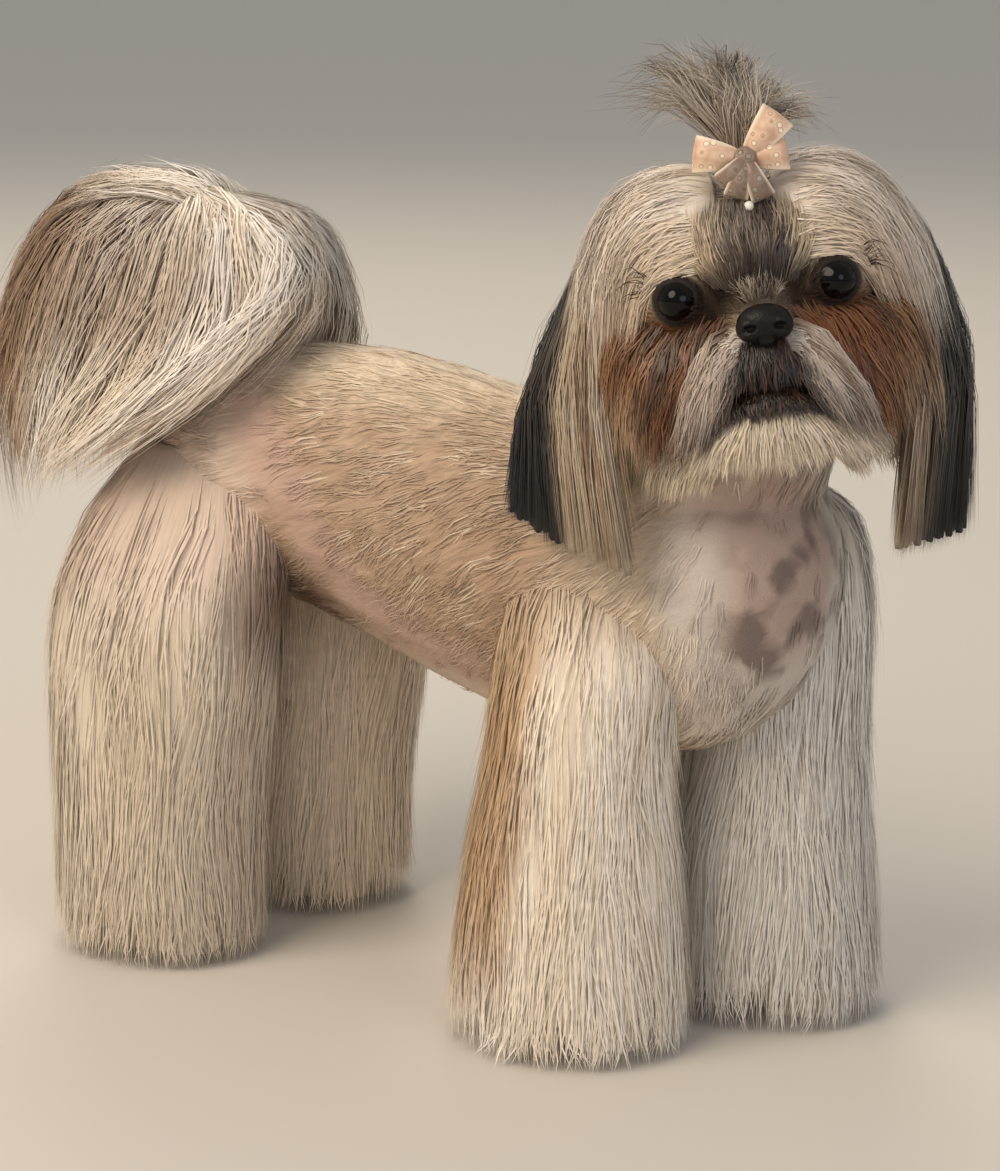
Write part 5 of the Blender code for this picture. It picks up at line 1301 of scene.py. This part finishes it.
def buildTopknot():
    root = np.array(topknot["root"])
    tips = np.array(topknot["tips"])
    lean = unit((tips - root) * (1, 1, 0))
    rows = []
    for s in (0.0, 0.25, 0.5, 0.75, 1.0):
        base = root + lean * topknot["rootRadius"] * min(1.0, 2 * s + 0.5)
        rise = np.array((0, 0, topknot["arch"])) * math.sin(math.pi * s)
        rows.append(base * (1 - s) + tips * s + rise - lean * 0.006 * math.sin(math.pi * s))
    guides = fromHead(np.stack(rows, 1))
    hair = growLocks(guides, topknot["hair"], 500, lambda points: np.zeros(3))
    hair["roots"] = np.stack([hair["u"] % 1.0, np.clip(hair["tone"], 0, 1)], -1)
    lock = lockTones(hair)
    tone = mix(hairColours["silver"], hairColours["greige"], np.clip(lock * 1.1, 0, 1))
    tone = mix(tone, hairColours["slate"], 0.6 * ease(lock, 0.80, 0.9))
    tone = mix(tone, hairColours["tan"], 0.5 * ease(-hair["t"], -0.45, -0.1))
    hair["colours"] = shade(tone, hair, 0.12)
    hairPiece("hair_topknot", [hair], materials["longHair"], ("topknot",), 0.9)


buildTopknot()


# Eyes: a dark wet ball, brown iris round a wide black pupil, with the clear cornea as a glossy coat
def eyeMaterial(name, centre, gaze):
    look = {"radius": 0.0092, "pupil": 0.86, "iris": 0.62, "white": 0.50}
    material, tree = newMaterial(name)
    place = addNode(tree, "ShaderNodeTexCoord")
    offset = addNode(tree, "ShaderNodeVectorMath", {"operation": "SUBTRACT"}, {0: place.outputs["Object"]})
    offset.inputs[1].default_value = centre
    towards = addNode(tree, "ShaderNodeVectorMath", {"operation": "DOT_PRODUCT"}, {0: offset.outputs["Vector"]})
    towards.inputs[1].default_value = gaze / look["radius"]
    ramp = addNode(tree, "ShaderNodeValToRGB", {}, {"Fac": towards.outputs["Value"]})
    stops = ((0.0, "#A08C7A"), (look["white"], "#4A382C"), (look["white"] + 0.05, "#0B0705"),
             (look["iris"] + 0.06, "#0D0705"), (look["pupil"] - 0.03, "#100906"), (look["pupil"], "#040303"))
    setRamp(ramp.color_ramp, stops)
    addShader(tree, {"Roughness": 0.12, "IOR": 1.38, "Specular IOR Level": 0.05, "Coat Weight": 0.5,
                     "Coat Roughness": 0.02, "Coat IOR": 1.38}, {"Base Color": ramp.outputs["Color"]})
    return material


def buildEyes():
    look = {"radius": 0.0092, "cornea": 0.0007, "corneaWidth": 0.80}
    for side, way in (("right", -1), ("left", 1)):
        gaze = headTurn @ lidAxes(way)[0]
        centre = eyeCentres[side]
        bm = bmesh.new()
        turn = gaze.to_track_quat("Z", "Y").to_matrix().to_4x4()
        bmesh.ops.create_uvsphere(bm, u_segments=40, v_segments=28, radius=look["radius"],
                                  matrix=Matrix.Translation(centre) @ turn)
        for vert in bm.verts:
            facing = (vert.co - centre).normalized().dot(gaze)
            bulge = max(facing - look["corneaWidth"], 0) / (1 - look["corneaWidth"])
            vert.co += gaze * look["cornea"] * bulge
        bmesh.ops.recalc_face_normals(bm, faces=bm.faces)
        mesh = meshFrom(bm, "eyeball_" + side)
        addPiece("eyeball_" + side, mesh, eyeMaterial("Dog eye " + side, centre, gaze), ("eye_" + side,))
    print("eyes")


buildEyes()


# Nose leather: black, damp and cobbled in bumps under a millimetre across
def buildNose():
    look = {"point": (0.0185, 0.0005, -0.0126), "voxel": 0.0005, "smooth": 6, "pebble": 0.0009,
            "nostril": (0.0052, 0.0056, -0.0012), "nostrilSize": (0.0045, 0.0024, 0.0014), "depth": 0.0030,
            "slit": (0.0050, 0.0078, -0.0022), "slitSize": (0.005, 0.0026, 0.0009)}
    middle = np.array(look["point"])
    bm = bmesh.new()
    forms = (((0, 0, 0.0006), (0.0070, 0.0104, 0.0070)), ((0.0012, 0.0055, -0.0010), (0.0061, 0.0054, 0.0054)),
             ((0.0012, -0.0055, -0.0010), (0.0061, 0.0054, 0.0054)), ((-0.001, 0, -0.0050), (0.0050, 0.0042, 0.0042)))
    for centre, half in forms:
        addBall(bm, Vector(fromHead(middle + centre)), half, headTurn, 32, 20)
    mesh = oneSurface(bm, "nose_leather", look["voxel"], look["smooth"])
    for vert in mesh.vertices:
        h = toHead(np.array(vert.co)) - middle
        push = 0.0
        for side in (-1, 1):
            gap = (h - np.array(look["nostril"]) * (1, side, 1)) / look["nostrilSize"]
            slit = (h - np.array(look["slit"]) * (1, side, 1)) / look["slitSize"]
            push = max(push, math.exp(-float(gap @ gap) ** 2), 0.6 * math.exp(-float(slit @ slit)))
        groove = math.exp(-(h[1] / 0.0006) ** 2) * float(ease(-h[2], 0.000, 0.003)) * 0.22
        vert.co -= headTurn @ Vector((look["depth"] * max(push, groove) * (h[0] > 0), 0, 0))
    material, tree = newMaterial("Nose leather")
    place = addNode(tree, "ShaderNodeTexCoord")
    cells = addNode(tree, "ShaderNodeTexVoronoi", {"Scale": 1 / look["pebble"]}, {"Vector": place.outputs["Object"]})
    bump = addNode(tree, "ShaderNodeBump", {"Strength": 0.55, "Distance": 0.0002, "invert": True},
                   {"Height": cells.outputs["Distance"]})
    patches = addNode(tree, "ShaderNodeTexNoise", {"Scale": 260.0}, {"Vector": place.outputs["Object"]})
    tint = addNode(tree, "ShaderNodeMix", {"data_type": "RGBA"}, {"Factor": patches.outputs["Fac"]})
    tint.inputs[6].default_value = (*linear("#0A0808"), 1)
    tint.inputs[7].default_value = (*linear("#1A1615"), 1)
    addShader(tree, {"Roughness": 0.42, "Specular IOR Level": 0.3, "IOR": 1.4},
              {"Base Color": tint.outputs[2], "Normal": bump.outputs["Normal"]})
    addPiece("nose_leather", mesh, material, ("nose",))
    print("nose", len(mesh.polygons), "faces")


buildNose()

# The bow: two loops, a small loop and three short tails of printed ribbon round a soft knot, with two pearl beads
bow = {
    "point": (-0.006, 0.002, 0.0490), "width": 0.0145, "thickness": 0.0007, "edge": "#E9D9BE",
    "muted": (0.36, 0.38, 0.41),
    "dot": 0.0042, "weave": 0.0004,
    # lean in the face's plane, length, height, droop forward
    "loops": ((166, 0.0185, 0.0040), (46, 0.0200, 0.0044), (4, 0.0150, 0.0028)),
    "tails": ((-72, 0.0165), (-112, 0.0150), (-140, 0.0125)),
    "beads": ((0.006, 0.001, -0.010), (0.0075, -0.001, -0.0175)), "beadRadius": 0.0019,
}


# Satin ribbon: fine weave, printed with small pale dots, peach on the loops and grey-brown below
def ribbonMaterial():
    material, tree = newMaterial("Satin ribbon")
    place = addNode(tree, "ShaderNodeTexCoord")
    dots = addNode(tree, "ShaderNodeTexVoronoi", {"Scale": 1 / bow["dot"], "Randomness": 0.55},
                   {"Vector": place.outputs["Object"]})
    rings = addNode(tree, "ShaderNodeValToRGB", {}, {"Fac": dots.outputs["Distance"]})
    stops = ((0.0, "#EFE2CC"), (0.20, "#EAD6BB"), (0.26, "#B08A6C"), (0.36, "#D8B89C"), (0.75, "#C79E82"))
    setRamp(rings.color_ramp, stops)
    edge = addNode(tree, "ShaderNodeAttribute", {"attribute_name": "edge"})
    lower = addNode(tree, "ShaderNodeAttribute", {"attribute_name": "lower"})
    muted = addNode(tree, "ShaderNodeVectorMath", {"operation": "MULTIPLY", 1: bow["muted"]},
                    {0: rings.outputs["Color"]})
    printed = addNode(tree, "ShaderNodeMix", {"data_type": "RGBA"},
                      {"Factor": lower.outputs["Fac"], 6: rings.outputs["Color"], 7: muted.outputs["Vector"]})
    tint = addNode(tree, "ShaderNodeMix", {"data_type": "RGBA"},
                   {"Factor": edge.outputs["Fac"], 6: printed.outputs[2]})
    tint.inputs[7].default_value = (*linear(bow["edge"]), 1)
    weave = addNode(tree, "ShaderNodeTexNoise", {"Scale": 1 / bow["weave"]}, {"Vector": place.outputs["Object"]})
    bump = addNode(tree, "ShaderNodeBump", {"Strength": 0.35, "Distance": 0.0001}, {"Height": weave.outputs["Fac"]})
    addShader(tree, {"Roughness": 0.45, "Sheen Weight": 0.3, "Sheen Roughness": 0.4},
              {"Base Color": tint.outputs[2], "Normal": bump.outputs["Normal"]})
    return material


def addStrip(bm, path, widths, outs, lower, columns=6):  # a strip of ribbon, extruded sideways from its path
    edgeMark = bm.verts.layers.float["edge"]
    lowerMark = bm.verts.layers.float["lower"]
    rows = []
    for i, point in enumerate(path):
        along = (path[min(i + 1, len(path) - 1)] - path[max(i - 1, 0)]).normalized()
        across = along.cross(outs[i]).normalized()
        row = []
        for c in range(columns + 1):
            s = 2 * c / columns - 1
            crease = outs[i] * 0.0009 * math.cos(math.pi * s) * min(1, 6 * abs(i / (len(path) - 1) - 0.5) + 0.2)
            vert = bm.verts.new(Vector(fromHead(np.array(point + across * s * widths[i] / 2 + crease))))
            vert[edgeMark] = 1.0 if abs(s) > 0.95 else 0.0
            vert[lowerMark] = lower
            row.append(vert)
        rows.append(row)
    for first, second in zip(rows, rows[1:]):
        for c in range(columns):
            bm.faces.new((first[c], first[c + 1], second[c + 1], second[c]))


def buildBow():
    start = Vector(bow["point"])
    bm = bmesh.new()
    bm.verts.layers.float.new("edge")
    bm.verts.layers.float.new("lower")
    face = Vector((1, 0, 0))
    for lean, length, height in bow["loops"]:
        away = Vector((0, math.cos(math.radians(lean)), math.sin(math.radians(lean))))
        path, widths, outs = [], [], []
        for k in range(25):
            s = k / 24
            swing = 2 * math.pi * s
            reach = length * 0.5 * (1 - math.cos(swing))
            depth = height * math.sin(swing) * (0.35 + 0.65 * math.sin(math.pi * s))
            path.append(start + away * (0.001 + reach) + face * (depth + 0.003))
            widths.append(bow["width"] * (0.30 + 0.70 * math.sin(math.pi * s)))
            outs.append((away * -math.cos(swing) + face * math.sin(swing) + face * 1e-3).normalized())
        addStrip(bm, path, widths, outs, 0.0)
    for lean, length in bow["tails"]:
        away = Vector((0, math.cos(math.radians(lean)), math.sin(math.radians(lean))))
        path = [start + away * length * k / 8 + face * (0.0062 + 0.004 * math.sin(3 * k / 8)) for k in range(9)]
        addStrip(bm, path, [bow["width"] * (0.36 + 0.042 * k) for k in range(9)], [face] * 9, 1.0)
    piece = addPiece("bow_ribbon", meshFrom(bm, "bow_ribbon"), ribbonMaterial(), ("bow",))
    wall = piece.modifiers.new("Cloth", "SOLIDIFY")
    wall.thickness = bow["thickness"]
    wall.offset = 0
    finer = piece.modifiers.new("Soft", "SUBSURF")
    finer.levels = finer.render_levels = 1
    knot = bmesh.new()
    knot.verts.layers.float.new("lower")
    addBall(knot, Vector(fromHead(np.array(start + face * 0.0050))), (0.0036, 0.0046, 0.0050), headTurn, 24, 16)
    for vert in knot.verts:
        h = toHead(np.array(vert.co))
        vert.co += headTurn @ Vector((0.0004 * math.sin(h[1] * 2600), 0, 0))
        vert[knot.verts.layers.float["lower"]] = 1.0
    addPiece("bow_knot", meshFrom(knot, "bow_knot"), piece.data.materials[0], ("bow",))
    beads = bmesh.new()
    for centre in bow["beads"]:
        addBall(beads, Vector(fromHead(np.array(start) + centre)), (bow["beadRadius"],) * 3, headTurn, 20, 14)
    material, tree = newMaterial("Imitation pearl")
    addShader(tree,
              {"Base Color": (*linear("#E8E0D2"), 1), "Roughness": 0.22, "Coat Weight": 0.6, "Coat Roughness": 0.08})
    addPiece("bow_beads", meshFrom(beads, "bow_beads"), material, ("bow",))
    print("bow")


buildBow()

# The stage: a pale floor, soft studio light and the camera
stage = {
    "floor": "#D3CBBF", "floorHalf": 12.0, "world": "#EEF0F2", "worldStrength": 0.50,
    # name, place relative to the dog, size, strength, colour
    "lamps": (("key", (-0.5, -1.8, 1.9), 1.8, 51.0, "#FFF0DC"), ("fill", (2.4, -1.3, 1.2), 1.6, 14.0, "#E4ECFF"),
              ("rim", (-1.4, 1.7, 2.0), 1.4, 22.0, "#FFF3E2")),
    "camera": {"place": (0.7226, -1.1268, 0.4880), "azimuth": 31.957, "pitch": 13.3, "roll": 1.3,
               "focalPixels": 3200.0, "imageHeight": 1171, "sensor": 36.0},
}


def buildStage():
    bpy.context.scene.view_settings.view_transform = "Standard"
    bm = bmesh.new()
    bmesh.ops.create_grid(bm, x_segments=1, y_segments=1, size=stage["floorHalf"])
    mesh = meshFrom(bm, "studio_floor")
    material, tree = newMaterial("Painted studio floor")
    addShader(tree, {"Base Color": (*linear(stage["floor"]), 1), "Roughness": 0.75})
    mesh.materials.append(material)
    floor = bpy.data.objects.new("studio_floor", mesh)
    bpy.context.scene.collection.objects.link(floor)
    world = bpy.data.worlds.new("Studio")
    world.use_nodes = True
    back = world.node_tree.nodes["Background"]
    back.inputs["Color"].default_value = (*linear(stage["world"]), 1)
    back.inputs["Strength"].default_value = stage["worldStrength"]
    bpy.context.scene.world = world
    for name, place, size, power, text in stage["lamps"]:
        lamp = bpy.data.lights.new(name, "AREA")
        lamp.shape = "DISK"
        lamp.size = size
        lamp.energy = power
        lamp.color = linear(text)
        holder = bpy.data.objects.new(name, lamp)
        holder.location = place
        holder.rotation_mode = "QUATERNION"
        holder.rotation_quaternion = (Vector((0, 0, 0.18)) - Vector(place)).to_track_quat("-Z", "Y")
        bpy.context.scene.collection.objects.link(holder)
    view = stage["camera"]
    azimuth, pitch, roll = (math.radians(view[key]) for key in ("azimuth", "pitch", "roll"))
    level = Vector((-math.sin(azimuth), math.cos(azimuth), 0))
    ahead = level * math.cos(pitch) - Vector((0, 0, math.sin(pitch)))
    right = Vector((level.y, -level.x, 0))
    up = right.cross(ahead)
    axes = Matrix((right * math.cos(roll) + up * math.sin(roll), up * math.cos(roll) - right * math.sin(roll),
                   -ahead))
    data = bpy.data.cameras.new("camera")
    data.sensor_width = view["sensor"]
    data.sensor_fit = "AUTO"
    data.lens = view["focalPixels"] * view["sensor"] / view["imageHeight"]
    camera = bpy.data.objects.new("camera", data)
    camera.matrix_world = Matrix.Translation(Vector(view["place"]) + Vector(shift)) @ axes.transposed().to_4x4()
    bpy.context.scene.collection.objects.link(camera)
    bpy.context.scene.camera = camera
    print("stage")


buildStage()
